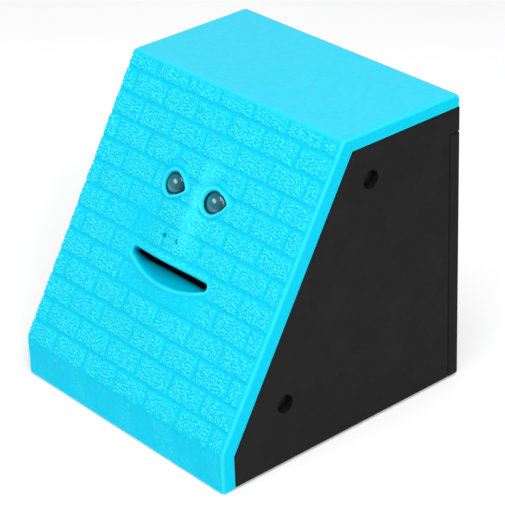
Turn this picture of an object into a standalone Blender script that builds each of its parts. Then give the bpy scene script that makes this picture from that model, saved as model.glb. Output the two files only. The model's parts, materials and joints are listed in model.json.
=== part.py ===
"""A coin-eating money box: a wedge-shaped box whose mouth chews when a coin comes near.

Sizes are written in millimetres and become metres when a mesh is made. +Z is up, the face looks
towards -Y, and the origin is under the middle of the box, on the surface it stands on.

Three frames are used. The world frame is (x, y, z). The side frame looks along the width: its plane
is (y, z) and its height is x. The face frame lies on the sloping front: x across, "down" along the
slope from its top edge, and "deep" into the box from the outer surface of the skin.
"""

import math

import bmesh
import bpy
from mathutils import Matrix, Vector

MM = 0.001

# ---- driving dimensions ---------------------------------------------------------------------
WIDTH = 100.0
DEPTH = 101.0
HEIGHT = 101.5
TOP_DEPTH = 49.0          # front to back length of the level top
KICK = 14.2               # height of the upright foot of the front
LIFT = 0.8                # the rubber feet hold the base this far off the table

GAP = 0.3                 # clearance between pieces that touch
WALL = 2.2                # wall of the black mouldings
SKIN = 2.0                # thickness of the rubber skin
BAND = 4.8                # how far the skin wraps round the sides, square to the slope
BAND_TOP = 4.1
BAND_KICK = 4.5

SIDE_SCREWS = ((12.2, 85.3), (-24.75, 21.8))      # (y, z) of the screw wells in each side
WELL_RADIUS = 3.15
WELL_FLOOR = 45.5         # how far out from the middle the floor of a side well lies
SCREW_HEAD_RADIUS = 2.7
SCREW_HEAD_HEIGHT = 1.8
SCREW_SHAFT_RADIUS = 1.25
PILOT_RADIUS = 1.55
FEET = ((-40.0, -38.0), (40.0, -38.0), (-36.0, 36.0), (36.0, 36.0))
FOOT_RADIUS = 4.0

SEAM_Y = 45.7             # the rear cover starts behind this plane
COVER_TOP = 88.5

# Face, in the face frame (x, down).
EYES = ((-9.6, 33.5), (9.2, 33.3))
EYE_RADIUS = 5.4
EYE_DEEP = 5.2
MOUTH_X = 0.8
MOUTH_HALF = 16.7
MOUTH_TOP = 57.2
MOUTH_END_RADIUS = 1.4
MOUTH_BOTTOM = 63.9
SENSORS = ((-5.6, 49.6), (0.9, 49.6))

# Jaw and its drive, as (y, z).
JAW_PIVOT = (-12.0, 34.0)
JAW_SWING = math.radians(12.0)
CRANK = (-2.0, 50.0)
ARM_INNER = 16.9          # the jaw's arms lie between these two widths
ARM_OUTER = 19.3
AXLE_RADIUS = 1.5
PIN_RADIUS = 1.2
BOARD_DEEP = 13.6         # the circuit board's front face lies this deep in the face frame
BOARD_THICK = 1.6

# Gear train: pinion -> first gear -> second gear -> output gear.
MODULE = 0.7
PINION_TEETH = 10
WHEEL_TEETH = 36
SMALL_TEETH = 12
BACKLASH = 0.2
PRESSURE_ANGLE = math.radians(20.0)
SECOND_DIRECTION = math.radians(50.0)     # from the crank's centre to the second gear's
FIRST_DIRECTION = math.radians(35.0)
MOTOR_DIRECTION = math.radians(-38.0)
LAYER = 3.0                               # width of one row of teeth
LAYER_STEP = 3.6
FIRST_LAYER = 26.1
PLATE_INNER = (23.5, 25.5)                # the two gearbox plates, along the width
PLATE_OUTER = (36.9, 38.9)
CRANK_DISC = (19.9, 22.3)
GEARBOX_SCREWS = ((-2.0, 33.0), (1.5, 79.5), (38.5, 75.5))

# Rear cover, its door and the switch.
REAR_SCREWS = ((-43.5, 8.5), (43.5, 8.5), (-43.5, 80.5), (43.5, 80.5))    # (x, z)
REAR_WELL_FLOOR = 47.2
DOOR_HALF = 30.7
DOOR_AXIS = (48.4, 15.4)
DOOR_TOP = 50.7
NOTCH_HALF = 8.0          # half width of the finger notch above the door
SWITCH_X = -26.0
SWITCH_Z = 74.0
SWITCH_TRAVEL = 4.0

# Batteries: two AA cells lying across the base.
CELL_RADIUS = 7.1
CELL_HALF = 24.6
CELLS_Y = (-30.2, -14.8)
CELL_Z = 10.5
WIRE_RADIUS = 0.55
CONTACT_X = (30.6, 31.3)  # the contact plates, along the width

HALF_W = WIDTH / 2
HALF_D = DEPTH / 2
SLOPE_FOOT = (-HALF_D, KICK)
SLOPE_HEAD = (HALF_D - TOP_DEPTH, HEIGHT)
SLOPE_RISE = SLOPE_HEAD[1] - SLOPE_FOOT[1]
SLOPE_RUN = SLOPE_HEAD[0] - SLOPE_FOOT[0]
SLOPE_ANGLE = math.atan2(SLOPE_RISE, SLOPE_RUN)
SIN = math.sin(SLOPE_ANGLE)
COS = math.cos(SLOPE_ANGLE)
LIP_RISE = MOUTH_BOTTOM - MOUTH_TOP - 2 * MOUTH_END_RADIUS
LIP_BOW = (MOUTH_HALF ** 2 + LIP_RISE ** 2) / (2 * LIP_RISE)      # radius of the lower lip's edge

CYAN = (0.020, 0.700, 0.900)
BLACK = (0.016, 0.016, 0.017)


# ---- materials, frames and mesh helpers -----------------------------------------------------
def material(name, color, roughness, metallic=0.0):
    """A Principled material of one colour."""
    made = bpy.data.materials.new(name)
    made.use_nodes = True
    shader = made.node_tree.nodes["Principled BSDF"]
    shader.inputs["Base Color"].default_value = (*color, 1.0)
    shader.inputs["Roughness"].default_value = roughness
    shader.inputs["Metallic"].default_value = metallic
    return made


def frame_empty(name, location, rotation, parent=None):
    """An empty that holds a local frame; location in millimetres."""
    empty = bpy.data.objects.new(name, None)
    empty.location = Vector(location) * MM
    empty.rotation_euler = rotation
    empty.parent = parent
    bpy.context.collection.objects.link(empty)
    return empty


def place(name, mesh, look, parent=None, at=(0.0, 0.0, 0.0)):
    """Link a mesh in millimetres as a named object in metres, at a point of its parent's frame."""
    mesh.transform(Matrix.Scale(MM, 4))
    if look is not None:
        mesh.materials.append(look)
    made = bpy.data.objects.new(name, mesh)
    made.parent = parent
    made.location = Vector(at) * MM
    bpy.context.collection.objects.link(made)
    return made


def finish_mesh(name, shape):
    """Turn a bmesh into a smooth-shaded mesh whose normals point out."""
    bmesh.ops.recalc_face_normals(shape, faces=shape.faces)
    mesh = bpy.data.meshes.new(name)
    shape.to_mesh(mesh)
    shape.free()
    mesh.shade_smooth()
    mesh.set_sharp_from_angle(angle=math.radians(35.0))
    return mesh


def prism(name, outline, low, high, bevel=0.0):
    """The outline, in the plane of its frame, pulled from height low to height high."""
    shape = bmesh.new()
    base = shape.faces.new([shape.verts.new((u, v, low)) for u, v in outline])
    pulled = bmesh.ops.extrude_face_region(shape, geom=[base])
    top = [item for item in pulled["geom"] if isinstance(item, bmesh.types.BMVert)]
    bmesh.ops.translate(shape, verts=top, vec=(0.0, 0.0, high - low))
    if bevel:
        bmesh.ops.bevel(shape, geom=shape.edges[:], offset=bevel, segments=2, affect="EDGES", profile=0.5)
    return finish_mesh(name, shape)


def box(name, low, high, bevel=0.0):
    """A box between two corners."""
    corners = [(low[0], low[1]), (high[0], low[1]), (high[0], high[1]), (low[0], high[1])]
    return prism(name, corners, low[2], high[2], bevel)


def turned(name, profile, segments=24):
    """A solid turned about local Z from (radius, height) points, from one end to the other."""
    shape = bmesh.new()
    rings = []
    for radius, height in profile:
        if radius == 0.0:
            rings.append([shape.verts.new((0.0, 0.0, height))])
            continue
        circle = arc((0.0, 0.0), radius, 0.0, 2 * math.pi, segments)[:-1]
        rings.append([shape.verts.new((u, v, height)) for u, v in circle])
    for lower, upper in zip(rings, rings[1:]):
        for i in range(segments):
            j = (i + 1) % segments
            corners = [lower[i % len(lower)], lower[j % len(lower)]]
            corners += [upper[j % len(upper)], upper[i % len(upper)]]
            shape.faces.new(list(dict.fromkeys(corners)))
    for ring in (rings[0], rings[-1]):
        if len(ring) > 1:
            shape.faces.new(ring)
    return finish_mesh(name, shape)


def rod(name, radius, low, high, segments=16):
    """A plain cylinder along local Z."""
    return turned(name, [(radius, low), (radius, high)], segments)


def loft(name, sections):
    """A solid through equal-length loops of points, closed at both ends."""
    shape = bmesh.new()
    loops = [[shape.verts.new(point) for point in section] for section in sections]
    count = len(loops[0])
    for near, far in zip(loops, loops[1:]):
        for i in range(count):
            j = (i + 1) % count
            shape.faces.new((near[i], near[j], far[j], far[i]))
    shape.faces.new(loops[0])
    shape.faces.new(loops[-1])
    return finish_mesh(name, shape)


def arc(center, radius, start, end, steps):
    """Points along an arc; angles in radians."""
    return [(center[0] + radius * math.cos(start + (end - start) * i / steps),
             center[1] + radius * math.sin(start + (end - start) * i / steps)) for i in range(steps + 1)]


def hull_outline(circles, steps=16):
    """The convex outline round several circles, given as (u, v, radius)."""
    points = set()
    for u, v, radius in circles:
        circle = arc((u, v), radius, 0.0, 2 * math.pi, steps)
        points.update((round(p[0], 4), round(p[1], 4)) for p in circle)
    ordered = sorted(points)

    def chain(sequence):
        """One side of the hull, from the first point to the one before the last."""
        kept = []
        for point in sequence:
            while len(kept) > 1 and turn(kept[-2], kept[-1], point) <= 0:
                kept.pop()
            kept.append(point)
        return kept[:-1]

    return chain(ordered) + chain(reversed(ordered))


def turn(a, b, c):
    """Positive where the path a, b, c turns left."""
    return (b[0] - a[0]) * (c[1] - a[1]) - (b[1] - a[1]) * (c[0] - a[0])


def combine(target, operation, tools):
    """Add one Boolean modifier for each tool object, and keep the tools out of the model."""
    for tool in tools:
        tool.hide_render = True
        tool.display_type = "WIRE"
        modifier = target.modifiers.new(tool.name, "BOOLEAN")
        modifier.operation = operation
        modifier.object = tool
        modifier.solver = "EXACT"
    return target


def cut(target, *tools):
    """Take the tools' solids away from the target."""
    return combine(target, "DIFFERENCE", tools)


def add(target, *tools):
    """Join the tools' solids to the target."""
    return combine(target, "UNION", tools)


# ---- profiles -------------------------------------------------------------------------------
def wedge(kick, slope, top, rear=0.0, bottom=0.0):
    """The side outline of the box as (y, z), moved inwards by a distance for each of its edges."""
    front = -HALF_D + kick
    back = HALF_D - rear
    low = LIFT + bottom
    high = HEIGHT - top
    knee = KICK + (kick * SIN - slope) / COS
    brow = -HALF_D + (slope + (high - KICK) * COS) / SIN
    return [(front, low), (back, low), (back, high), (brow, high), (front, knee)]


def mouth_outline():
    """The smile-shaped opening as (x, up) in the face frame: straight above, bowed below."""
    end = MOUTH_END_RADIUS
    sweep = math.asin(MOUTH_HALF / LIP_BOW)
    middle = -MOUTH_TOP - end
    right = arc((MOUTH_X + MOUTH_HALF, middle), end, math.pi / 2, -math.pi / 2, 6)
    left = arc((MOUTH_X - MOUTH_HALF, middle), end, -math.pi / 2, -3 * math.pi / 2, 6)
    below = arc((MOUTH_X, LIP_BOW - MOUTH_BOTTOM), LIP_BOW, -math.pi / 2 + sweep, -math.pi / 2 - sweep, 14)
    return right + below[1:-1] + left


def lip_edge(x):
    """How far down the slope the lower edge of the mouth lies at this width."""
    return MOUTH_BOTTOM - LIP_BOW + math.sqrt(LIP_BOW ** 2 - (x - MOUTH_X) ** 2)


def involute(base, radius):
    """The angle, seen from the gear's centre, that an involute has swept out at this radius."""
    roll = math.sqrt(max((radius / base) ** 2 - 1.0, 0.0))
    return roll - math.atan(roll)


def gear_outline(teeth, tip, phase=0.0):
    """Involute teeth; a tooth points at the angle phase, and tip is the addendum in modules."""
    pitch = teeth * MODULE / 2
    base = pitch * math.cos(PRESSURE_ANGLE)
    root = pitch - 1.25 * MODULE
    half = math.pi / (2 * teeth) - BACKLASH / pitch / 2
    flank = [(radius, half + involute(base, pitch) - involute(base, radius))
             for radius in (max(base, root), pitch + tip * MODULE)]
    undercut = base - root > BACKLASH
    flank[:1] = [(root, flank[0][1]), flank[0]] if undercut else [(root, flank[0][1])]
    points = []
    for tooth in range(teeth):
        middle = phase + 2 * math.pi * tooth / teeth
        rising = [(radius, middle - angle) for radius, angle in flank]
        falling = [(radius, middle + angle) for radius, angle in reversed(flank)]
        points += [(radius * math.cos(a), radius * math.sin(a)) for radius, a in rising + falling]
    return points


def meshing_phase(driver_teeth, driver_phase, teeth, direction):
    """The phase that puts a gear in mesh with one whose centre lies the other way along direction."""
    share = (direction - driver_phase) * driver_teeth / (2 * math.pi) % 1.0
    return direction + math.pi - 2 * math.pi / teeth * (0.5 - share)


def centre_at(start, direction, teeth_a, teeth_b):
    """The centre of a gear in mesh with one at start, in the given direction."""
    distance = (teeth_a + teeth_b) * MODULE / 2
    return (start[0] + distance * math.cos(direction), start[1] + distance * math.sin(direction))


SECOND = centre_at(CRANK, SECOND_DIRECTION, WHEEL_TEETH, SMALL_TEETH)
FIRST = centre_at(SECOND, FIRST_DIRECTION, WHEEL_TEETH, SMALL_TEETH)
MOTOR = centre_at(FIRST, MOTOR_DIRECTION, WHEEL_TEETH, PINION_TEETH)
LEVER = math.dist(JAW_PIVOT, CRANK)
LEVER_ANGLE = math.atan2(CRANK[1] - JAW_PIVOT[1], CRANK[0] - JAW_PIVOT[0])
CRANK_THROW = LEVER * math.tan(JAW_SWING / 2)


def face_point(x, down, deep):
    """A point of the face frame in world millimetres."""
    y = SLOPE_HEAD[0] - down * COS + deep * SIN
    z = SLOPE_HEAD[1] - down * SIN - deep * COS
    return (x, y, z)


def face_place(y, z):
    """World (y, z) as (down, deep) of the face frame."""
    dy = y - SLOPE_HEAD[0]
    dz = z - SLOPE_HEAD[1]
    return (-dy * COS - dz * SIN, dy * SIN - dz * COS)


# ---- shells ---------------------------------------------------------------------------------
def build_skin(side, face, look):
    """Rubber skin over the foot, slope and top, turned in round the sides and the rear."""
    skin = place("face_skin", prism("face_skin", wedge(0, 0, 0), -HALF_W, HALF_W, 1.0), look, side)
    flank = prism("skin_flank", wedge(BAND_KICK, BAND, BAND_TOP, -1, -1), -HALF_W - 1, HALF_W + 1)
    inside = prism("skin_inside", wedge(SKIN, SKIN, SKIN, SKIN, -1), -HALF_W + SKIN, HALF_W - SKIN)
    cut(skin, place("cut_skin_flank", flank, None, side), place("cut_skin_inside", inside, None, side))
    mouth = prism("skin_mouth", mouth_outline(), -5, 5)
    cut(skin, place("cut_skin_mouth", mouth, None, face))
    for i, (x, down) in enumerate(EYES):
        # A pocket round the bead and an opening with one drawn-out corner between the lids.
        pocket = turned("skin_eye_pocket", ball_profile(EYE_RADIUS + GAP, -1.2, 6), 16)
        corner = math.radians((-10.0, 20.0)[i])
        tip = (5.6 * math.cos(corner), 5.6 * math.sin(corner), 0.2)
        lids = prism("skin_eye_lids", hull_outline([(-0.6, 0.0, 3.3), tip]), -5, 5)
        cut(skin, place(f"cut_skin_eye_pocket_{i}", pocket, None, face, (x, -down, -EYE_DEEP)),
            place(f"cut_skin_eye_lids_{i}", lids, None, face, (x, -down, 0)))
    for i, (x, down) in enumerate(SENSORS):
        hole = rod("skin_sensor_hole", 0.75, -5, 5, 12)
        cut(skin, place(f"cut_skin_sensor_{i}", hole, None, face, (x, -down, 0)))
    return skin


def ball_profile(radius, start, steps=8):
    """Turning profile of a ball cut off at the height start, from there to its top."""
    low = math.asin(start / radius)
    angles = [low + (math.pi / 2 - low) * i / steps for i in range(steps + 1)]
    rim = [(radius * math.cos(a), radius * math.sin(a)) for a in angles[:-1]]
    return rim + [(0.0, radius)]


def build_housing(side, look):
    """Black body: both sides, base, top deck and the strip above the rear cover."""
    outline = wedge(BAND_KICK + GAP, BAND + GAP, BAND_TOP + GAP)
    housing = place("housing", prism("housing", outline, -HALF_W, HALF_W, 0.6), look, side)
    inner = HALF_W - WALL
    deck_low = HEIGHT - BAND_TOP - GAP - WALL
    under_skin = HEIGHT - SKIN - GAP
    deck = box("housing_deck", (5.9, deck_low - 4.0, -inner + 0.1),
               (HALF_D - SKIN - GAP, under_skin, inner - 0.1))
    add(housing, place("add_housing_deck", deck, None, side))
    hollow = [(-HALF_D - 1, LIFT + WALL), (HALF_D - WALL, LIFT + WALL), (HALF_D - WALL, deck_low),
              (-HALF_D - 1, deck_low)]
    upper = [(-HALF_D - 1, deck_low - 1), (SEAM_Y, deck_low - 1), (SEAM_Y, under_skin - WALL),
             (-HALF_D - 1, under_skin - WALL)]
    rear = box("housing_rear_opening", (SEAM_Y, LIFT - 1, -HALF_W - 1),
               (HALF_D + 1, COVER_TOP + GAP, HALF_W + 1))
    cut(housing, place("cut_housing_hollow", prism("hollow", hollow, -inner, inner), None, side),
        place("cut_housing_upper", prism("upper", upper, -inner + 2.5, inner - 2.5), None, side),
        place("cut_housing_rear", rear, None, side))
    cover_hole = box("housing_battery_opening", (-30.5, -38.5, 0.0), (30.5, -6.5, 5.0))
    cut(housing, place("cut_housing_battery", cover_hole, None))
    for end in (-1, 1):
        for i, (y, z) in enumerate(SIDE_SCREWS):
            name = f"{'left' if end < 0 else 'right'}_{i}"
            floor = end * WELL_FLOOR
            low, high = sorted((floor - end * 1.6, end * (HALF_W - 0.5)))
            boss = rod("housing_well_boss", WELL_RADIUS + 1.5, low, high, 12)
            low, high = sorted((floor, end * (HALF_W + 1)))
            well = rod("housing_well", WELL_RADIUS, low, high, 20)
            low, high = sorted((floor - end * 2.5, floor + end * 0.5))
            hole = rod("housing_screw_hole", PILOT_RADIUS, low, high, 12)
            add(housing, place(f"add_well_{name}", boss, None, side, (y, z, 0)))
            cut(housing, place(f"cut_well_{name}", well, None, side, (y, z, 0)),
                place(f"cut_well_hole_{name}", hole, None, side, (y, z, 0)))
    for i, (x, z) in enumerate(REAR_SCREWS):
        low_x, high_x = (39.8, inner + 0.5) if x > 0 else (-inner - 0.5, -39.8)
        low_z = LIFT + 1.0 if z < HEIGHT / 2 else z - 4.0
        post = box("housing_rear_post", (low_x, 34.0, low_z), (high_x, 44.9, z + 4.0))
        add(housing, place(f"add_rear_post_{i}", post, None))
        hole = rod("housing_rear_hole", PILOT_RADIUS, -46.0, -35.5, 12)
        cut(housing, place(f"cut_rear_hole_{i}", hole, None, REAR_VIEW, (x, z, 0)))
    for i, (y, z) in enumerate(GEARBOX_SCREWS):
        pillar = rod("housing_gearbox_pillar", 3.0, PLATE_OUTER[1] + GAP, inner + 0.5, 12)
        hole = rod("housing_gearbox_hole", 1.4, PLATE_OUTER[1], 45.6, 12)
        add(housing, place(f"add_gearbox_pillar_{i}", pillar, None, side, (y, z, 0)))
        cut(housing, place(f"cut_gearbox_hole_{i}", hole, None, side, (y, z, 0)))
    for i, (x, y) in enumerate(FEET):
        seat = rod("housing_foot_seat", FOOT_RADIUS + GAP, -1.0, 1.7, 12)
        cut(housing, place(f"cut_foot_seat_{i}", seat, None, None, (x, y, 0)))
    return housing


def build_front_plate(side, face, look):
    """Hard plate that carries the skin, with sockets for the eyes, sensors and jaw."""
    near = SKIN + GAP
    far = near + 2.3
    half = HALF_W - SKIN - GAP
    outline = wedge(near, near, near, 30, 0)
    plate = place("front_plate", prism("front_plate", outline, -half, half), look, side)
    behind = wedge(far, far, -5, 20, -1)
    cut(plate, place("cut_front_behind", prism("front_behind", behind, -half - 1, half + 1), None, side))
    window = box("front_jaw_window", (-20.1, -84.0, -8.0), (20.1, -55.9, 0.0))
    cut(plate, place("cut_front_jaw_window", window, None, face))
    for i, (x, down) in enumerate(EYES):
        socket = rod("front_eye_socket", EYE_RADIUS + GAP, -8.0, 0.0, 24)
        cut(plate, place(f"cut_front_eye_{i}", socket, None, face, (x, -down, 0)))
    for i, (x, down) in enumerate(SENSORS):
        hole = rod("front_sensor_hole", 0.9, -8.0, 0.0, 12)
        cut(plate, place(f"cut_front_sensor_{i}", hole, None, face, (x, -down, 0)))
    for end in (-1, 1):
        for i, (y, z) in enumerate(SIDE_SCREWS):
            name = f"{'left' if end < 0 else 'right'}_{i}"
            down, deep = face_place(y, z)
            low, high = sorted((end * 41.4, end * 43.6))
            tab = box("front_tab", (low, -down - 5.5, -deep - 4.2), (high, -down + 5.5, -far + 0.5))
            low, high = sorted((end * 39.6, end * 43.6))
            boss = rod("front_boss", 3.6, low, high, 16)
            hole = rod("front_boss_hole", PILOT_RADIUS, min(low, high) - 1, max(low, high) + 1, 12)
            add(plate, place(f"add_front_tab_{name}", tab, None, face),
                place(f"add_front_boss_{name}", boss, None, side, (y, z, 0)))
            cut(plate, place(f"cut_front_boss_{name}", hole, None, side, (y, z, 0)))
    return plate


def build_rear_cover(look):
    """Full-width rear cover with the door opening, switch window and screw wells."""
    low_y = SEAM_Y + GAP
    inner = HALF_W - WALL
    cover = box("rear_cover", (-HALF_W, low_y, LIFT), (HALF_W, HALF_D, COVER_TOP), 0.6)
    cover = place("rear_cover", cover, look)
    tray = box("cover_tray", (-inner, low_y - 1, LIFT + WALL), (inner, HALF_D - WALL, COVER_TOP - WALL))
    cut(cover, place("cut_cover_tray", tray, None))
    for end in (-1, 1):
        low_x, high_x = sorted((end * (DOOR_HALF + GAP), end * 34.2))
        ear = box("cover_hinge_ear", (low_x, low_y, DOOR_AXIS[1] - 3.0),
                  (high_x, HALF_D - 0.5, DOOR_AXIS[1] + 3.0))
        bearing = rod("cover_bearing", 1.2, *sorted((end * DOOR_HALF, end * 33.6)), 12)
        add(cover, place(f"add_cover_ear_{end}", ear, None))
        cut(cover, place(f"cut_cover_bearing_{end}", bearing, None, SIDE_VIEW, (*DOOR_AXIS, 0)))
    for i, (x, z) in enumerate(REAR_SCREWS):
        boss = rod("cover_well_boss", WELL_RADIUS + 0.8, 0.5 - HALF_D, 0.6 - low_y, 12)
        well = rod("cover_well", WELL_RADIUS, -HALF_D - 1, -REAR_WELL_FLOOR, 16)
        hole = rod("cover_screw_hole", PILOT_RADIUS, -REAR_WELL_FLOOR - 0.8, -REAR_WELL_FLOOR + 3.2, 12)
        add(cover, place(f"add_cover_well_{i}", boss, None, REAR_VIEW, (x, z, 0)))
        cut(cover, place(f"cut_cover_well_{i}", well, None, REAR_VIEW, (x, z, 0)),
            place(f"cut_cover_hole_{i}", hole, None, REAR_VIEW, (x, z, 0)))
    edge = DOOR_HALF + GAP
    opening = box("cover_door_opening", (-edge, 44.0, DOOR_AXIS[1] - 2.4),
                  (edge, HALF_D + 1, DOOR_TOP + GAP))
    notch = box("cover_finger_notch", (-NOTCH_HALF, HALF_D - 1.2, DOOR_TOP - 1.0),
                (NOTCH_HALF, HALF_D + 1, DOOR_TOP + 3.3))
    window = box("cover_switch_window", (SWITCH_X - 4.4, 44.0, SWITCH_Z - 1.6),
                 (SWITCH_X + 4.4, HALF_D + 1, SWITCH_Z + 1.6))
    cut(cover, place("cut_cover_door", opening, None), place("cut_cover_notch", notch, None),
        place("cut_cover_switch", window, None))
    return cover


def build_coin_door(look):
    """Flap that turns down on its lower edge; its origin is on the hinge axis."""
    barrel = HALF_D - DOOR_AXIS[0]
    outline = arc((0.0, 0.0), barrel, math.pi, 2 * math.pi, 10)
    height = DOOR_TOP - DOOR_AXIS[1]
    outline += [(barrel, height), (barrel - WALL, height), (barrel - WALL, 1.4)]
    hinge = frame_empty("door_hinge", (0.0, *DOOR_AXIS), SIDE_ROTATION)
    door = place("coin_door", prism("coin_door", outline, -DOOR_HALF, DOOR_HALF), look, hinge)
    for end in (-1, 1):
        low, high = sorted((end * (DOOR_HALF - 1), end * 33.2))
        add(door, place(f"add_door_pin_{end}", rod("door_pin", 0.9, low, high, 12), None, hinge))
    for end in (-1, 1):
        low, high = sorted((end * 18.0, end * 19.6))
        rib = box("door_rib", (barrel - WALL - 1.6, 4.0, low), (barrel - WALL + 0.5, height - 3, high))
        add(door, place(f"add_door_rib_{end}", rib, None, hinge))
    return door


# ---- face, mouth and jaw --------------------------------------------------------------------
def build_eyes(face, look):
    """Two beads with a flange that sits behind the front plate."""
    for name, (x, down) in zip(("eye_left", "eye_right"), EYES):
        flange = [(0.0, -1.3), (7.0, -1.3), (7.0, 0.3), (EYE_RADIUS - 0.02, 0.3)]
        dome = flange + ball_profile(EYE_RADIUS, 0.6, 5)
        place(name, turned(name, dome, 16), look, face, (x, -down, -EYE_DEEP))


def build_lip(face, look):
    """Inner lower lip: it slopes from the mouth's edge in to the coin slot."""
    sections = []
    steps = 12
    for i in range(steps + 1):
        x = MOUTH_X + 15.6 * (2 * i / steps - 1)
        edge = lip_edge(x)
        back = min(60.2, edge - 0.4)
        profile = [(edge + 0.3, 2.5), (back + 1.2, 4.4), (back, 6.6), (66.2, 6.6), (66.2, 2.5)]
        sections.append([(x, -down, -deep) for down, deep in profile])
    return place("lower_lip", loft("lower_lip", sections), look, face)


def build_jaw(look):
    """Jaw: a bar under the lower lip, two arms to the pivot and a slotted lever to the crank."""
    pivot = frame_empty("jaw_pivot", (0.0, *JAW_PIVOT), SIDE_ROTATION)
    down, deep = face_place(*JAW_PIVOT)

    def local(bar_down, bar_deep):
        """A point of the face frame's middle plane, as (y, z) from the pivot."""
        _, y, z = face_point(0.0, bar_down, bar_deep)
        return (y - JAW_PIVOT[0], z - JAW_PIVOT[1])

    bar = [local(66.5, 2.9), local(77.0, 2.9), local(77.0, 5.0), local(66.5, 5.0)]
    jaw = place("jaw", prism("jaw", bar, -ARM_OUTER, ARM_OUTER), look, pivot)
    strap = [(*local(down + 4.0, 5.2), 2.2), (*local(down + 8.0, 5.2), 2.2), (0.0, 0.0, 3.6)]
    lean = LEVER_ANGLE - JAW_SWING / 2
    slot_middle = (LEVER * math.cos(lean), LEVER * math.sin(lean))
    reach = [(0.0, 0.0, 3.6)] + [(slot_middle[0] + end * 2.6 * math.cos(lean),
                                 slot_middle[1] + end * 2.6 * math.sin(lean), 3.9) for end in (-1, 1)]
    slot = [(slot_middle[0] + end * 2.3 * math.cos(lean),
             slot_middle[1] + end * 2.3 * math.sin(lean), PIN_RADIUS + 0.62) for end in (-1, 1)]
    for end in (-1, 1):
        low, high = sorted((end * ARM_INNER, end * ARM_OUTER))
        add(jaw, place(f"add_jaw_arm_{end}", prism("jaw_arm", hull_outline(strap), low, high), None, pivot))
    lever = prism("jaw_lever", hull_outline(reach), ARM_INNER, ARM_OUTER)
    add(jaw, place("add_jaw_lever", lever, None, pivot))
    axle_hole = rod("jaw_axle_hole", AXLE_RADIUS + GAP, -ARM_OUTER - 1, ARM_OUTER + 1, 16)
    slot_hole = prism("jaw_slot", hull_outline(slot), ARM_INNER - 1, ARM_OUTER + 1)
    cut(jaw, place("cut_jaw_axle", axle_hole, None, pivot), place("cut_jaw_slot", slot_hole, None, pivot))
    seat = -ARM_OUTER - GAP
    axle = [(0.0, seat - 1.4), (2.6, seat - 1.4), (2.6, seat), (AXLE_RADIUS, seat),
            (AXLE_RADIUS, ARM_OUTER + 1.2), (0.0, ARM_OUTER + 1.2)]
    place("jaw_axle", turned("jaw_axle", axle, 16), STEEL, pivot)
    return jaw


def build_chute(side, face, look):
    """Open channel that takes a coin from the slot over the jaw's axle into the hollow."""
    outline = [(52.3, 4.9), (56.2, 4.9), (56.2, 7.5), (62.2, 7.5), (62.2, 31.0), (55.0, 31.0),
               (55.0, 11.5), (52.3, 11.5)]
    points = [face_point(0.0, down, deep)[1:] for down, deep in outline]
    chute = place("coin_chute", prism("coin_chute", points, -16.3, 16.3), look, side)
    for end in (-1, 1):
        low, high = sorted((end * 14.6, end * 16.3))
        ear = prism("chute_ear", hull_outline([(0, 0, 3.4), (-1.5, 4.5, 3.0), (3.5, 2.0, 2.0)]), low, high)
        add(chute, place(f"add_chute_ear_{end}", ear, None, side, (*JAW_PIVOT, 0)))
    flange = box("chute_flange", (-24.0, -55.5, -6.4), (24.0, -52.5, -4.8))
    channel = [(50.0, 6.1), (55.8, 6.1), (55.8, 4.0), (60.9, 4.0), (60.9, 40.0), (50.0, 40.0)]
    channel = [face_point(0.0, down, deep)[1:] for down, deep in channel]
    axle = rod("chute_axle_hole", AXLE_RADIUS + GAP, -17.0, 17.0, 16)
    add(chute, place("add_chute_flange", flange, None, face))
    cut(chute, place("cut_chute_channel", prism("chute_channel", channel, -15.0, 15.0), None, side),
        place("cut_chute_axle", axle, None, side, (*JAW_PIVOT, 0)))
    return chute


def build_electronics(face):
    """Sensor pair behind the pinholes, and the circuit board with its parts."""
    lens = [(0.0, -5.3), (0.45, -5.3), (0.45, -2.4), (1.9, -2.4), (1.9, -1.4), (1.5, -1.4), (1.5, 1.6),
            (1.1, 2.6), (0.0, 2.9)]
    for name, look, (x, down) in zip(("ir_emitter", "ir_receiver"), (CLEAR, DARK), SENSORS):
        place(name, turned(name, lens, 12), look, face, (x, -down, -7.9))
    board_back = -BOARD_DEEP - BOARD_THICK
    board = box("circuit_board", (-22.0, -54.0, board_back), (16.0, -36.0, -BOARD_DEEP))
    place("circuit_board", board, GREEN, face)
    chip = box("controller_chip", (-8.0, -47.5, board_back - 2.2), (-1.0, -41.0, board_back - GAP))
    place("controller_chip", chip, DARK, face)
    can = [(0.0, board_back - 7.3), (2.2, board_back - 7.3), (2.5, board_back - 6.9),
           (2.5, board_back - GAP), (0.0, board_back - GAP)]
    place("capacitor", turned("capacitor", can, 16), BLUE, face, (9.0, -44.0, 0.0))


# ---- drive ----------------------------------------------------------------------------------
def layer(index):
    """Where a row of teeth starts and ends along the width."""
    return (FIRST_LAYER + index * LAYER_STEP, FIRST_LAYER + index * LAYER_STEP + LAYER)


def wheel(name, centre, look, rows, bore=1.3):
    """A gear of one or two rows of teeth with a bore; its origin is on its axis."""
    axis = frame_empty(f"{name}_axis", (0.0, *centre), SIDE_ROTATION)
    teeth, tip, phase, low, high = rows[0]
    gear = place(name, prism(name, gear_outline(teeth, tip, phase), low, high), look, axis)
    for teeth, tip, phase, low, high in rows[1:]:
        small = prism("small_teeth", gear_outline(teeth, tip, phase), low, high)
        add(gear, place(f"add_{name}_{teeth}", small, None, axis))
    lowest = min(row[3] for row in rows) - 1
    highest = max(row[4] for row in rows) + 1
    cut(gear, place(f"cut_{name}_bore", rod("bore", bore, lowest, highest, 12), None, axis))
    return axis


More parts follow.
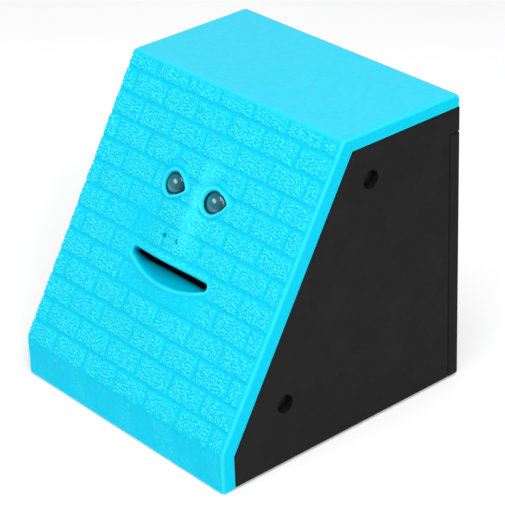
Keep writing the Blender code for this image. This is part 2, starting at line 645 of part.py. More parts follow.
def build_gears():
    """Pinion, two stepped gears and the output gear, each in mesh with the next, and the crank."""
    big_tip = 0.8
    second_small = meshing_phase(WHEEL_TEETH, 0.0, SMALL_TEETH, SECOND_DIRECTION)
    first_small = meshing_phase(WHEEL_TEETH, 0.0, SMALL_TEETH, FIRST_DIRECTION)
    pinion = meshing_phase(WHEEL_TEETH, 0.0, PINION_TEETH, MOTOR_DIRECTION)
    low, high = layer(2)
    crank_axis = wheel("output_gear", CRANK, WHITE, [(WHEEL_TEETH, big_tip, 0.0, low, high)], 1.9)
    low, high = layer(1)
    wheel("second_gear", SECOND, WHITE, [(WHEEL_TEETH, big_tip, 0.0, low, high),
                                         (SMALL_TEETH, 1.0, second_small, high - 0.5, layer(2)[1] + 0.2)])
    low, high = layer(0)
    wheel("first_gear", FIRST, WHITE, [(WHEEL_TEETH, big_tip, 0.0, low, high),
                                       (SMALL_TEETH, 1.0, first_small, high - 0.5, layer(1)[1] + 0.2)])
    pinion_axis = wheel("motor_pinion", MOTOR, BRASS, [(PINION_TEETH, 1.0, pinion, low, high + 0.2)])
    place("motor_shaft", rod("motor_shaft", 1.0, 23.6, high + 1.0, 12), STEEL, pinion_axis)
    for name, centre in (("first_gear_axle", FIRST), ("second_gear_axle", SECOND)):
        axle = rod(name, 1.0, PLATE_INNER[0] + 0.2, PLATE_OUTER[1] - 0.2, 12)
        place(name, axle, STEEL, SIDE_VIEW, (*centre, 0))
    shaft = rod("output_shaft", 1.6, CRANK_DISC[0] + GAP, PLATE_OUTER[1] - 0.2, 16)
    place("output_shaft", shaft, STEEL, crank_axis)
    lean = LEVER_ANGLE - math.pi / 2
    pin_at = (CRANK_THROW * math.cos(lean), CRANK_THROW * math.sin(lean))
    low, high = CRANK_DISC
    disc = place("crank_disc", rod("crank_disc", 5.2, low, high, 20), WHITE, crank_axis)
    cut(disc, place("cut_crank_bore", rod("crank_bore", 1.9, low + 0.1, high + 1, 12), None, crank_axis))
    pin = rod("crank_pin", PIN_RADIUS, ARM_INNER + 0.2, low + 0.05, 16)
    add(disc, place("add_crank_pin", pin, None, crank_axis, (*pin_at, 0)))


def build_gearbox():
    """Two plates with spacers between them, and the screws that hold them to the body."""
    around = [(*point, 5.0) for point in GEARBOX_SCREWS] + [(*MOTOR, 6.5)]
    for name, (low, high) in (("gearbox_inner_plate", PLATE_INNER), ("gearbox_outer_plate", PLATE_OUTER)):
        plate = place(name, prism(name, hull_outline(around), low, high), GREY, SIDE_VIEW)
        holes = [(CRANK, 1.9), (FIRST, 1.3), (SECOND, 1.3), (MOTOR, 3.3)]
        holes += [(point, 1.4) for point in GEARBOX_SCREWS]
        if high > FIRST_LAYER:
            for i, point in enumerate(GEARBOX_SCREWS):
                spacer = rod("gearbox_spacer", 2.6, PLATE_INNER[1] + GAP, low + 0.5, 12)
                add(plate, place(f"add_spacer_{i}", spacer, None, SIDE_VIEW, (*point, 0)))
        for i, (centre, radius) in enumerate(holes):
            hole = rod("plate_hole", radius, 20.0, 42.0, 10)
            cut(plate, place(f"cut_{name}_{i}", hole, None, SIDE_VIEW, (*centre, 0)))
    for i, point in enumerate(GEARBOX_SCREWS):
        screw(f"gearbox_screw_{i + 1}", SIDE_VIEW, (*point, PLATE_INNER[0] - GAP), 2.2, 1.5, 1.1, 21.8, 1)


def build_motor():
    """Small flat-sided motor whose shaft passes through the inner plate."""
    flat = 7.5
    radius = 10.0
    lean = math.asin(flat / radius)
    outline = arc((0, 0), radius, math.pi / 2 - lean, math.pi / 2 + lean, 6)
    outline += arc((0, 0), radius, 3 * math.pi / 2 - lean, 3 * math.pi / 2 + lean, 6)
    can = place("motor", prism("motor", outline, -0.5, 23.1), STEEL, SIDE_VIEW, (*MOTOR, 0))
    nose = rod("motor_nose", 3.0, 22.5, 25.0, 12)
    bore = rod("motor_bore", 1.3, 20.0, 26.0, 12)
    add(can, place("add_motor_nose", nose, None, SIDE_VIEW, (*MOTOR, 0)),
        place("add_motor_tail", rod("motor_tail", 3.0, -2.0, 0.0, 12), None, SIDE_VIEW, (*MOTOR, 0)))
    cut(can, place("cut_motor_bore", bore, None, SIDE_VIEW, (*MOTOR, 0)))


def screw(name, view, at, head_radius, head_height, shaft_radius, length, direction):
    """A screw with its head's seat at a point of a view, its shaft along +Z or -Z."""
    profile = [(0.0, -head_height), (head_radius, -head_height), (head_radius, 0.0), (shaft_radius, 0.0),
               (shaft_radius, length - 1.0), (0.0, length)]
    profile = [(radius, direction * height) for radius, height in profile]
    return place(name, turned(name, profile, 10), STEEL, view, at)


# ---- base, batteries, switch and fasteners --------------------------------------------------
def build_battery_bay():
    """Tray over the two cells, their contacts, and the screwed cover under them."""
    tray = box("battery_tray", (-33.0, -40.2, LIFT + WALL + GAP), (33.0, -5.0, 20.3))
    tray = place("battery_tray", tray, GREY)
    inside = box("tray_inside", (-31.6, -38.8, 0.0), (31.6, -6.4, 18.9))
    cut(tray, place("cut_tray_inside", inside, None))
    cover = box("battery_cover", (-30.2, -38.2, LIFT), (30.2, -6.8, 2.9))
    cover = place("battery_cover", cover, BLACK_PLASTIC)
    between = sum(CELLS_Y) / 2
    seat = [(0.0, 0.0), (2.6, 0.0), (2.6, 1.9), (1.4, 1.9), (1.4, 4.0), (0.0, 4.0)]
    seat = turned("cover_screw_seat", seat, 16)
    cut(cover, place("cut_battery_cover_screw", seat, None, None, (0.0, between, 0.0)))
    screw("battery_cover_screw", None, (0.0, between, 1.6), 2.2, 0.8, 1.05, 5.0, 1)
    for name, y, end in (("battery_front", CELLS_Y[0], 1), ("battery_rear", CELLS_Y[1], -1)):
        profile = [(0.0, -CELL_HALF), (5.6, -CELL_HALF), (CELL_RADIUS, -CELL_HALF + 0.6),
                   (CELL_RADIUS, CELL_HALF - 0.9), (5.6, CELL_HALF - 0.4), (2.7, CELL_HALF - 0.4),
                   (2.7, CELL_HALF + 1.0), (0.0, CELL_HALF + 1.0)]
        profile = [(radius, end * height) for radius, height in profile]
        place(name, turned(name, profile, 16), CELL_LOOK, SIDE_VIEW, (y, CELL_Z, 0))
    near, far = CONTACT_X
    front, rear = CELLS_Y
    low, high = CELL_Z - 5.5, CELL_Z + 5.5
    spring_end = CELL_HALF + 0.6
    dome_end = CELL_HALF + 1.4
    bridge = box("battery_bridge", (near, front - 5, low), (far, rear + 5, high))
    bridge = place("battery_bridge", bridge, SPRING)
    spring = coil(near + 0.2, spring_end)
    dome = rod("dome", 2.4, dome_end, near + 0.3, 12)
    add(bridge, place("add_bridge_spring", spring, None, SIDE_VIEW, (rear, CELL_Z, 0)),
        place("add_bridge_dome", dome, None, SIDE_VIEW, (front, CELL_Z, 0)))
    spring = coil(-near - 0.2, -spring_end)
    dome = rod("dome", 2.4, -near - 0.3, -dome_end, 12)
    for name, y, end in (("battery_spring_contact", front, spring), ("battery_plate_contact", rear, dome)):
        plate = place(name, box(name, (-far, y - 5, low), (-near, y + 5, high)), SPRING)
        add(plate, place(f"add_{name}", end, None, SIDE_VIEW, (y, CELL_Z, 0)))


def coil(start, end, turns=3, sides=5):
    """A conical contact spring along local Z as one tube."""
    steps = turns * 10
    sections = []
    for i in range(steps + 1):
        share = i / steps
        angle = 2 * math.pi * turns * share
        out = Vector((math.cos(angle), math.sin(angle), 0.0))
        centre = out * (4.6 - 1.6 * share) + Vector((0.0, 0.0, start + (end - start) * share))
        ring = arc((0.0, 0.0), 0.42, 0.0, 2 * math.pi, sides)[:-1]
        sections.append([centre + out * u + Vector((0.0, 0.0, v)) for u, v in ring])
    return loft("coil", sections)


def build_switch(look):
    """Slide switch behind the rear cover; the knob stands at the off end of its travel."""
    body = box("switch_body", (-6.0, 42.0, -3.0), (6.0, 48.0, 3.0))
    body = place("switch_body", body, look, None, (SWITCH_X, 0.0, SWITCH_Z))
    channel = box("switch_channel", (-4.4, 45.9, -1.6), (4.4, 49.0, 1.6))
    cut(body, place("cut_switch_channel", channel, None, None, (SWITCH_X, 0.0, SWITCH_Z)))
    rest_x = SWITCH_X - SWITCH_TRAVEL / 2
    knob = box("switch_knob", (-2.0, -2.0, -1.3), (2.0, 2.0, 1.3), 0.3)
    place("switch_knob", knob, RED, None, (rest_x, 48.3, SWITCH_Z))


def build_fasteners():
    """Side screws, rear screws and rubber feet."""
    head = (SCREW_HEAD_RADIUS, SCREW_HEAD_HEIGHT, SCREW_SHAFT_RADIUS)
    seats = [(y, z, end * (WELL_FLOOR + GAP)) for end in (-1, 1) for y, z in SIDE_SCREWS]
    for i, seat in enumerate(seats):
        screw(f"side_screw_{i + 1}", SIDE_VIEW, seat, *head, 8.5, -math.copysign(1.0, seat[2]))
    for i, (x, z) in enumerate(REAR_SCREWS):
        screw(f"rear_screw_{i + 1}", REAR_VIEW, (x, z, -REAR_WELL_FLOOR - GAP), *head, 10.0, 1)
    profile = [(0.0, 0.0), (FOOT_RADIUS - 0.5, 0.0), (FOOT_RADIUS, 0.5), (FOOT_RADIUS, 1.4), (0.0, 1.4)]
    for i, (x, y) in enumerate(FEET):
        place(f"foot_{i + 1}", turned("foot", profile, 16), FOOT_RUBBER, None, (x, y, 0))


def wire(name, look, route):
    """An insulated wire along a smooth curve through its route, in world millimetres."""
    points = [Vector(point) for point in route]
    path = [points[0]]
    padded = [2 * points[0] - points[1]] + points + [2 * points[-1] - points[-2]]
    steps = 4
    for i in range(len(points) - 1):
        a, b, c, d = padded[i:i + 4]
        for step in range(1, steps + 1):
            t = step / steps
            path.append(0.5 * (2 * b + (c - a) * t + (2 * a - 5 * b + 4 * c - d) * t ** 2
                               + (3 * b - a - 3 * c + d) * t ** 3))
    curve = bpy.data.curves.new(name, "CURVE")
    curve.dimensions = "3D"
    curve.bevel_depth = WIRE_RADIUS * MM
    curve.bevel_resolution = 1
    curve.use_fill_caps = True
    spline = curve.splines.new("POLY")
    spline.points.add(len(path) - 1)
    for point, target in zip(spline.points, path):
        point.co = (*(target * MM), 1.0)
    curve.materials.append(look)
    bpy.context.collection.objects.link(bpy.data.objects.new(name, curve))


def board_end(x, down):
    """The last two points of a wire that meets the back of the circuit board squarely."""
    board_back = BOARD_DEEP + BOARD_THICK
    return [face_point(x, down, board_back + 5.3), face_point(x, down, board_back + 0.7)]


def build_wires():
    """Wires from the motor, the cells and the switch to the back of the circuit board."""
    for i, (name, look) in enumerate((("motor_wire_red", RED), ("motor_wire_black", DARK))):
        start = (-1.3, MOTOR[0] - 1.5 + 3.0 * i, MOTOR[1] + 6.0)
        wire(name, look, [start, (-5.0 - i, 34.0 + 2 * i, 73.0 + 2 * i), (-8.0 - 2 * i, 18.0, 76.0 + 2 * i),
                          (-11.0 - 2.5 * i, 5.0, 68.0)] + board_end(-11.0 - 2.5 * i, 41.0))
    for i, (name, look) in enumerate((("battery_wire_red", RED), ("battery_wire_black", DARK))):
        y = CELLS_Y[1 - i]
        wire(name, look, [(-34.3, y, 12.0), (-36.0, y + 1.0, 18.0), (-33.0 - 2 * i, -10.0 - 6 * i, 30.0),
                          (-30.0 - 2 * i, -4.0 - 4 * i, 46.0), (-20.5 - 2.5 * i, 2.0 - 2 * i, 52.0)]
             + board_end(-16.5 - 2.5 * i, 47.0))
    for i, (name, look) in enumerate((("switch_wire_red", RED), ("switch_wire_black", DARK))):
        x = SWITCH_X - 2.0 + 4.0 * i
        wire(name, look, [(x, 41.3, SWITCH_Z), (x, 39.5, 83.0), (x + 2.0, 28.0, 90.0),
                          (-17.0 + 3 * i, 16.0, 90.0), (-9.0 + 2.5 * i, 8.0, 82.0)]
             + board_end(-6.0 + 2.5 * i, 38.5))


# ---- build ----------------------------------------------------------------------------------
for old in list(bpy.data.objects):
    bpy.data.objects.remove(old, do_unlink=True)

RUBBER_SKIN = material("cyan_rubber", CYAN, 0.55)
BLACK_PLASTIC = material("black_plastic", BLACK, 0.42)
GREY = material("grey_plastic", (0.10, 0.10, 0.11), 0.5)
WHITE = material("white_plastic", (0.72, 0.72, 0.70), 0.4)
EYE_LOOK = material("eye_gloss", (0.01, 0.10, 0.13), 0.08)
STEEL = material("steel", (0.55, 0.56, 0.58), 0.3, 1.0)
BRASS = material("brass", (0.70, 0.50, 0.20), 0.3, 1.0)
SPRING = material("contact_metal", (0.62, 0.62, 0.60), 0.25, 1.0)
GREEN = material("board_green", (0.02, 0.20, 0.08), 0.45)
DARK = material("dark_plastic", (0.02, 0.02, 0.02), 0.4)
CLEAR = material("clear_lens", (0.70, 0.72, 0.75), 0.1)
BLUE = material("capacitor_blue", (0.03, 0.06, 0.25), 0.3)
RED = material("red_plastic", (0.60, 0.03, 0.02), 0.4)
CELL_LOOK = material("cell_label", (0.10, 0.30, 0.12), 0.3)
FOOT_RUBBER = material("foot_rubber", (0.03, 0.03, 0.03), 0.85)

SIDE_ROTATION = (math.pi / 2, 0.0, math.pi / 2)
SIDE_VIEW = frame_empty("side_view", (0.0, 0.0, 0.0), SIDE_ROTATION)
FACE_VIEW = frame_empty("face_view", (0.0, *SLOPE_HEAD), (SLOPE_ANGLE, 0.0, 0.0))
# Its plane is (x, z), and its height runs towards the front, so a height there is -y.
REAR_VIEW = frame_empty("rear_view", (0.0, 0.0, 0.0), (math.pi / 2, 0.0, 0.0))

build_skin(SIDE_VIEW, FACE_VIEW, RUBBER_SKIN)
build_housing(SIDE_VIEW, BLACK_PLASTIC)
build_front_plate(SIDE_VIEW, FACE_VIEW, GREY)
build_rear_cover(BLACK_PLASTIC)
build_coin_door(BLACK_PLASTIC)
build_eyes(FACE_VIEW, EYE_LOOK)
build_lip(FACE_VIEW, RUBBER_SKIN)
build_jaw(WHITE)
build_chute(SIDE_VIEW, FACE_VIEW, GREY)
build_electronics(FACE_VIEW)
build_gears()
build_gearbox()
build_motor()
build_battery_bay()
build_switch(DARK)
build_fasteners()
build_wires()
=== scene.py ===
"""Looks of the coin-eating money box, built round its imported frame.

Sizes are written in millimetres and become metres when a mesh is made. The rubber skin is built anew,
with its brick relief, eyelids and lips as real geometry, and so are the eyes. All other nodes keep
their shape and get their materials here.

The skin is drawn on a grid of two lengths. "along" runs over the box from back to front: it is 0 at
the brow, where the level top meets the sloping face, grows down the face and the foot, and is
negative over the top. "across" is x. "deep" goes into the box from the surface.
"""

import json
import math

import bmesh
import bpy
import numpy as np
from mathutils import Matrix, Vector
from mathutils.geometry import delaunay_2d_cdt


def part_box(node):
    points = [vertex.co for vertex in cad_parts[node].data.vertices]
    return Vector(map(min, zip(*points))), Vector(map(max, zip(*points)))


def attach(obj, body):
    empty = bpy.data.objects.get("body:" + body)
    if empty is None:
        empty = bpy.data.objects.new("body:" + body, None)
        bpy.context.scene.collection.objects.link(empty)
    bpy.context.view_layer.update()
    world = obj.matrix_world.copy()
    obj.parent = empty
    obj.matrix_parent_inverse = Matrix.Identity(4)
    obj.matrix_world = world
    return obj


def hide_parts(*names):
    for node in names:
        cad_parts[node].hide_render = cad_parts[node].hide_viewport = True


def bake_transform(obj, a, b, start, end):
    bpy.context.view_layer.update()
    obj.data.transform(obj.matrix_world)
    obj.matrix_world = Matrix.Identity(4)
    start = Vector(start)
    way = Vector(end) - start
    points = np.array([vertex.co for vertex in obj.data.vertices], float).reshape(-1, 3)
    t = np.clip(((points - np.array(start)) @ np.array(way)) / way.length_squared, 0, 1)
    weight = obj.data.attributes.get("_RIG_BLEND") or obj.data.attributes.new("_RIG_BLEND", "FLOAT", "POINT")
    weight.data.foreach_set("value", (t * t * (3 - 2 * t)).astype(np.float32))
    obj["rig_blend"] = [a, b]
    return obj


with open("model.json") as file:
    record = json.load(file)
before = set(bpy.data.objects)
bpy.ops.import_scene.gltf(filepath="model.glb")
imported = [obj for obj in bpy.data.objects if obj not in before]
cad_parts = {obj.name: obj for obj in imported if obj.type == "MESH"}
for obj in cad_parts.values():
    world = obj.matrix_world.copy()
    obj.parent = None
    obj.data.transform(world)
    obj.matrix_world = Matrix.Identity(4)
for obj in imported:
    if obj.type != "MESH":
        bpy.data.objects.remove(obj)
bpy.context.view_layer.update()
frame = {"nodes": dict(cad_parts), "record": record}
MM = 0.001

# ---- the box, taken from the frame ----------------------------------------------------------
SKIN_LOW, SKIN_HIGH = (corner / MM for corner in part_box("face_skin"))
HALF_W = SKIN_HIGH.x
FRONT, REAR = SKIN_LOW.y, SKIN_HIGH.y
BASE, TOP = SKIN_LOW.z, SKIN_HIGH.z
TOP_DEPTH = 49.0          # front to back length of the level top
KICK = 14.2               # height of the upright foot of the front
SKIN = 2.0                # thickness of the skin
SEAM_FILL = 0.25          # how far the soft band reaches into the frame's 0.3 mm seam, to close it
BAND = 4.8 + SEAM_FILL    # how far the skin wraps round the sides, square to the face
BAND_TOP = 4.1 + SEAM_FILL          # the same, below the level top
BAND_KICK = 4.5 + SEAM_FILL         # the same, behind the upright foot

BROW_Y = REAR - TOP_DEPTH
SLOPE = math.hypot(BROW_Y - FRONT, TOP - KICK)
LEAN = math.atan2(TOP - KICK, BROW_Y - FRONT)
SIN, COS = math.sin(LEAN), math.cos(LEAN)
CORNER_RADII = (2.2, 1.3, 6.0)      # rear top, brow, knee
SIDE_RADIUS = 1.1
FINE = 0.38               # grid step on the face
FINE_START = -1.2         # along, where the fine rows start, just over the brow
BEND_REACH = 2.4          # how far the rows of the rear top corner reach on both sides of it
MERGE = 0.004             # points nearer than this become one
SHARP = 35.0              # degrees: edges that turn more than this are crisp
SKIN_SHARP = 60.0         # the same for the soft skin
CUT_EXACT = 1e-5          # how exactly the flat triangulation keeps its points

# ---- the face -------------------------------------------------------------------------------
COURSE = 8.07             # height of a course of bricks with its joint
COURSES = 12
FIRST_JOINT = 5.9         # along, of the first bed joint
LAST_JOINT = FIRST_JOINT + COURSES * COURSE
BRICK = 15.65             # length of a brick with its joint
BRICK_STARTS = (-43.9, -36.0)       # across, of an upright joint in the odd and even courses
BED_JOINT = (0.48, 0.95)            # from a joint's middle: where a brick starts, and its full height
UPRIGHT_JOINT = (0.45, 0.88)
JOINT_STRAY = (0.10, 0.09)          # how far the joints wander, across and along

EYES = ((-10.4, 33.7), (8.7, 33.7))
EYE_OPENING = 3.65        # radius of the round part
EYE_BULGE = 0.45          # how far the two edges that meet in the corner are bowed
EYE_TIPS = ((6.5, -0.3), (5.7, 1.2))          # each corner from its eye's middle: across and up
EYE_DEEP = 4.4            # depth of the bead's middle
EYE_BALL = 5.4            # radius of the bead
EYE_EDGE = ((0.0, 0.12), (0.1, 0.4), (0.9, 1.0), (1.9, 1.7), (2.2, SKIN))     # (outwards, deep) steps

MOUTH_X = 0.8
MOUTH_HALF = 16.7
MOUTH_TOP = 57.2
MOUTH_END = 1.4           # radius of the mouth's round ends
MOUTH_BOTTOM = 63.9
SLOT_BACK = 60.2          # along, of the lip's inner edge, which borders the coin slot
LIP_DEEP = 6.2            # greatest depth of the lower lip
LIP_TUCK = 2.2            # how far the lip turns back under itself behind the edge, at a climb of -1
PULL_FADE = 27.0          # how far below the lip the skin still follows the jaw
PULL_ROUND = 2.4          # power that keeps the open lip one smooth curve
# Rings from the mouth's outline inwards. Upper lip: how far up, and how deep. Lower lip: how much of
# the way to the slot it has climbed, and how deep.
MOUTH_RINGS = (
    (0.0, 0.7, 0.03, 0.8), (0.0, 1.3, 0.2, 1.7), (0.05, 2.0, 0.55, 2.9), (0.1, 2.7, 0.92, 3.9),
    (0.3, 3.2, 1.0, 4.4), (0.8, 3.3, 1.0, LIP_DEEP - 0.2), (1.1, 2.9, 0.85, LIP_DEEP),
    (1.2, 2.4, 0.2, 5.0), (1.2, SKIN, -0.5, SKIN),
)

SENSORS = ((-5.0, 49.6), (1.5, 49.6))
SENSOR_RADIUS = 0.75

# Stretches of along, as the four places where something starts, is full, starts to fade and ends.
MUZZLE_RUN = (22.0, 44.0, 60.0, 71.0)
NOSE_RUN = (16.0, 27.0, 44.0, 55.0)
NOSE_HIGHLIGHT = (18.0, 27.0, 46.0, 54.0)
UNDER_LIP = (61.0, 64.0, 68.5, 71.5)
RIGHT_EDGE = (47.6, 48.9)           # across, where the texture fades out before the right edge
# Ridges round an opening, as (height, distance from its outline, width).
EYE_RIM = (0.70, 0.8, 0.5)
EYELID = (0.65, 2.5, 0.65)
LID_FOLD = (-0.40, 3.7, 0.40)
SOCKET = (-0.35, 2.1, 0.8)
# The texture's heights.
JOINT_DEPTH = 0.30
BRICK_RISE = 0.36
BRICK_UNEVEN = 0.08
WORM_RISE = 0.21
FOOT_WORMS = 0.15
BARE_WAVES = 0.02


# ---- small helpers --------------------------------------------------------------------------
def smooth(low, high, value):
    """0 below low, 1 above high, and a smooth step between them."""
    t = np.clip((value - low) / (high - low), 0.0, 1.0)
    return t * t * (3.0 - 2.0 * t)


def window(value, start, full, fade, end):
    """0 outside start to end, 1 from full to fade, and smooth steps between."""
    return smooth(start, full, value) * (1 - smooth(fade, end, value))


def bell(value, centre, width):
    """1 at the centre, falling away on both sides."""
    return np.exp(-((value - centre) / width) ** 2)


def ridge_at(near, ridge):
    """Height of a ridge, given as (height, distance, width), at a distance from an outline."""
    height, distance, width = ridge
    return height * bell(near, distance, width)


def arc(centre, radius, start, end, steps):
    """Points along an arc; angles in radians."""
    angles = np.linspace(start, end, steps + 1)
    return np.column_stack((centre[0] + radius * np.cos(angles), centre[1] + radius * np.sin(angles)))


def clean_mesh(mesh, look, sharp=SHARP):
    """Merge doubled points, turn all faces outwards and shade smooth up to an angle in degrees."""
    shape = bmesh.new()
    shape.from_mesh(mesh)
    bmesh.ops.remove_doubles(shape, verts=shape.verts, dist=MERGE * MM)
    bmesh.ops.dissolve_degenerate(shape, edges=shape.edges, dist=MERGE / 4 * MM)
    bmesh.ops.recalc_face_normals(shape, faces=shape.faces)
    shape.to_mesh(mesh)
    shape.free()
    mesh.shade_smooth()
    mesh.set_sharp_from_angle(angle=math.radians(sharp))
    mesh.materials.append(look)


def new_mesh(name, vertices, faces):
    """A mesh from points in millimetres."""
    mesh = bpy.data.meshes.new(name)
    mesh.from_pydata((np.asarray(vertices, float) * MM).tolist(), [], faces)
    return mesh


def new_object(name, data):
    """An object in the scene for a mesh, light or camera."""
    made = bpy.data.objects.new(name, data)
    bpy.context.scene.collection.objects.link(made)
    return made


def outline_distance(points, outline):
    """Signed distance of each point to a closed outline: negative inside."""
    points = np.asarray(points, float)
    start = np.asarray(outline, float)
    step = np.roll(start, -1, axis=0) - start
    nearest = np.full(len(points), 1e9)
    inside = np.zeros(len(points), bool)
    for (ax, ay), (dx, dy) in zip(start, step):
        rx, ry = points[:, 0] - ax, points[:, 1] - ay
        share = np.clip((rx * dx + ry * dy) / (dx * dx + dy * dy), 0.0, 1.0)
        nearest = np.minimum(nearest, np.hypot(rx - share * dx, ry - share * dy))
        crosses = (ay > points[:, 1]) != (ay + dy > points[:, 1])
        with np.errstate(divide="ignore", invalid="ignore"):
            inside ^= crosses & (points[:, 0] < ax + (points[:, 1] - ay) * dx / dy)
    return np.where(inside, -nearest, nearest)


# ---- outlines on the face, as (across, along) -----------------------------------------------
LIP_RISE = MOUTH_BOTTOM - MOUTH_TOP - 2 * MOUTH_END
LIP_BOW = (MOUTH_HALF ** 2 + LIP_RISE ** 2) / (2 * LIP_RISE)


def lip_edge(x):
    """Along, of the lower lip's outer edge."""
    off = np.minimum(np.abs(x - MOUTH_X), MOUTH_HALF)
    return MOUTH_BOTTOM - LIP_BOW + np.sqrt(LIP_BOW ** 2 - off ** 2)


def mouth_outline():
    """Straight above, bowed below, with round ends."""
    middle = MOUTH_TOP + MOUTH_END
    sweep = math.asin(MOUTH_HALF / LIP_BOW)
    top = np.column_stack((np.linspace(-1, 1, 91) * MOUTH_HALF + MOUTH_X, np.full(91, MOUTH_TOP)))
    right = arc((MOUTH_X + MOUTH_HALF, middle), MOUTH_END, -math.pi / 2, math.pi / 2, 12)
    bow_centre = (MOUTH_X, MOUTH_BOTTOM - LIP_BOW)
    bottom = arc(bow_centre, LIP_BOW, math.pi / 2 - sweep, math.pi / 2 + sweep, 96)
    left = arc((MOUTH_X - MOUTH_HALF, middle), MOUTH_END, math.pi / 2, 3 * math.pi / 2, 12)
    return np.vstack((top, right[1:], bottom[1:], left[1:-1]))


def eye_outline(which):
    """A round opening drawn out to one corner."""
    (x, along), (reach, lift) = EYES[which], EYE_TIPS[which]
    length = math.hypot(reach, lift)
    heading = math.atan2(-lift, reach)
    start = heading + math.acos(EYE_OPENING / length)
    round_part = arc((x, along), EYE_OPENING, start, 2 * (heading + math.pi) - start, 44)
    tip = np.array((x + reach, along - lift))
    shares = np.linspace(0, 1, 12)[1:, None]
    bulge = EYE_BULGE * np.sin(math.pi * shares)
    towards = np.array((math.cos(heading), math.sin(heading)))
    square = np.array((-towards[1], towards[0]))
    there = round_part[-1] + (tip - round_part[-1]) * shares - bulge * square
    back = tip + (round_part[0] - tip) * shares[:-1] + bulge[:-1] * square
    return np.vstack((round_part, there, back))


def sensor_outline(which):
    """A small circle."""
    return arc(SENSORS[which], SENSOR_RADIUS, 0.0, 2 * math.pi, 12)[:-1]


MOUTH_LINE = mouth_outline()
EYE_LINES = (eye_outline(0), eye_outline(1))


# ---- relief ---------------------------------------------------------------------------------
class Waves:
    """Seeded noise made of plane waves: one wavelength gives worm-like ridges, a wide band a blur."""

    def __init__(self, seed, wavelength, spread, count=48):
        pick = np.random.default_rng(seed)
        angle = pick.uniform(0, 2 * math.pi, count)
        length = wavelength * pick.uniform(1 - spread, 1 + spread, count)
        self.kx = 2 * math.pi * np.cos(angle) / length
        self.ky = 2 * math.pi * np.sin(angle) / length
        self.phase = pick.uniform(0, 2 * math.pi, count)

    def __call__(self, x, y):
        total = np.zeros_like(x)
        for kx, ky, phase in zip(self.kx, self.ky, self.phase):
            total += np.cos(kx * x + ky * y + phase)
        return total / math.sqrt(len(self.kx) / 2)


WORMS = Waves(3, 1.12, 0.34, 96)
PITS = Waves(11, 2.6, 0.4)
WANDER_X = Waves(5, 9.0, 0.5, 24)
WANDER_Y = Waves(7, 11.0, 0.5, 24)
DRIFT = Waves(13, 6.0, 0.4, 24)


def bricks(x, along):
    """How much of a point is brick rather than joint, and its brick's own small height offset."""
    x = x + JOINT_STRAY[0] * WANDER_X(x, along)
    along = along + JOINT_STRAY[1] * WANDER_Y(x, along)
    course = np.floor((along - FIRST_JOINT) / COURSE)
    bed = np.mod(along - FIRST_JOINT, COURSE)
    bed = np.minimum(bed, COURSE - bed)
    start = np.where(np.mod(course, 2) == 0, *BRICK_STARTS)
    number = np.floor((x - start) / BRICK)
    upright = np.mod(x - start, BRICK)
    upright = np.minimum(upright, BRICK - upright)
    raised = smooth(*BED_JOINT, bed) * smooth(*UPRIGHT_JOINT, upright)
    # A large sine's fraction serves as a fixed random number for each brick.
    own = np.sin(course * 12.9898 + number * 78.233) * 43758.5453
    return raised, (own - np.floor(own)) - 0.5


def face_form(x, along):
    """The broad swell of nose and upper lip, the ridge of the nose, and the chin."""
    muzzle = 1.7 * bell(x, -1.8, 10.5) * window(along, *MUZZLE_RUN)
    ridge = 0.9 * bell(x, 2.0, 3.4) * window(along, *NOSE_RUN)
    chin = 0.6 * bell(x, 0.0, 15.0) * bell(along, 77.0, 6.0)
    return muzzle + ridge + chin


def lip_side(along):
    """0 at the mouth's upper lip and 1 at its lower lip."""
    return smooth(MOUTH_TOP, MOUTH_TOP + 3.0, along)


def lid_side(which, x, along):
    """1 above an eye, where the lid folds, and 0 below it and beyond its corner."""
    eye_x, eye_along = EYES[which]
    above = smooth(-1.0, 3.0, eye_along - along + 0.25 * (x - eye_x))
    return above * smooth(6.5, 2.5, x - eye_x)


def brick_cover(x, along, mouth, eyes):
    """How much of the brick texture a point shows: little on the lips, the lids and the foot."""
    ragged = along + DRIFT(x, along)
    cover = smooth(0.6, 1.6, along) * (1 - smooth(LAST_JOINT - 2.6, LAST_JOINT + 0.6, ragged))
    cover *= 1 - 0.9 * smooth(*RIGHT_EDGE, x)
    lower = lip_side(along)
    cover *= smooth(0.5 + 0.8 * lower, 1.4 + 1.8 * lower, mouth)
    cheek = bell(x, -18.0, 8.0) * bell(along, 49.0, 9.0)
    under_lip = smooth(21.0, 15.0, np.abs(x)) * window(along, *UNDER_LIP)
    cover *= (1 - 0.75 * cheek) * (1 - 0.75 * under_lip)
    for which, near in enumerate(eyes):
        above = lid_side(which, x, along)
        cover *= smooth(1.2 + 1.8 * above, 2.4 + 1.6 * above, near)
    return cover


def foot_cover(x, along):
    """How much of the faint texture the upright foot shows, in drifting patches."""
    run = window(along, LAST_JOINT - 1.0, LAST_JOINT + 1.5, ALONG_END - 1.6, ALONG_END - 0.4)
    patches = smooth(-0.6, 0.8, DRIFT(0.4 * x, 0.15 * along))
    return 0.4 * run * (1 - smooth(*RIGHT_EDGE, x)) * patches


def rims(x, along, mouth, eyes):
    """Height of the lips' and eyes' rims, lids and folds, and of the edges rolled into the holes."""
    lower = lip_side(along)
    height = (0.18 + 0.30 * lower) * bell(mouth, 0.8, 0.5) - 0.35 * smooth(0.45, 0.0, mouth)
    for which, near in enumerate(eyes):
        above = lid_side(which, x, along)
        height += ridge_at(near, EYE_RIM) - 0.45 * smooth(0.5, 0.0, near)
        height += above * (ridge_at(near, EYELID) + ridge_at(near, LID_FOLD))
        height += (1 - above) * ridge_at(near, SOCKET)
    return height


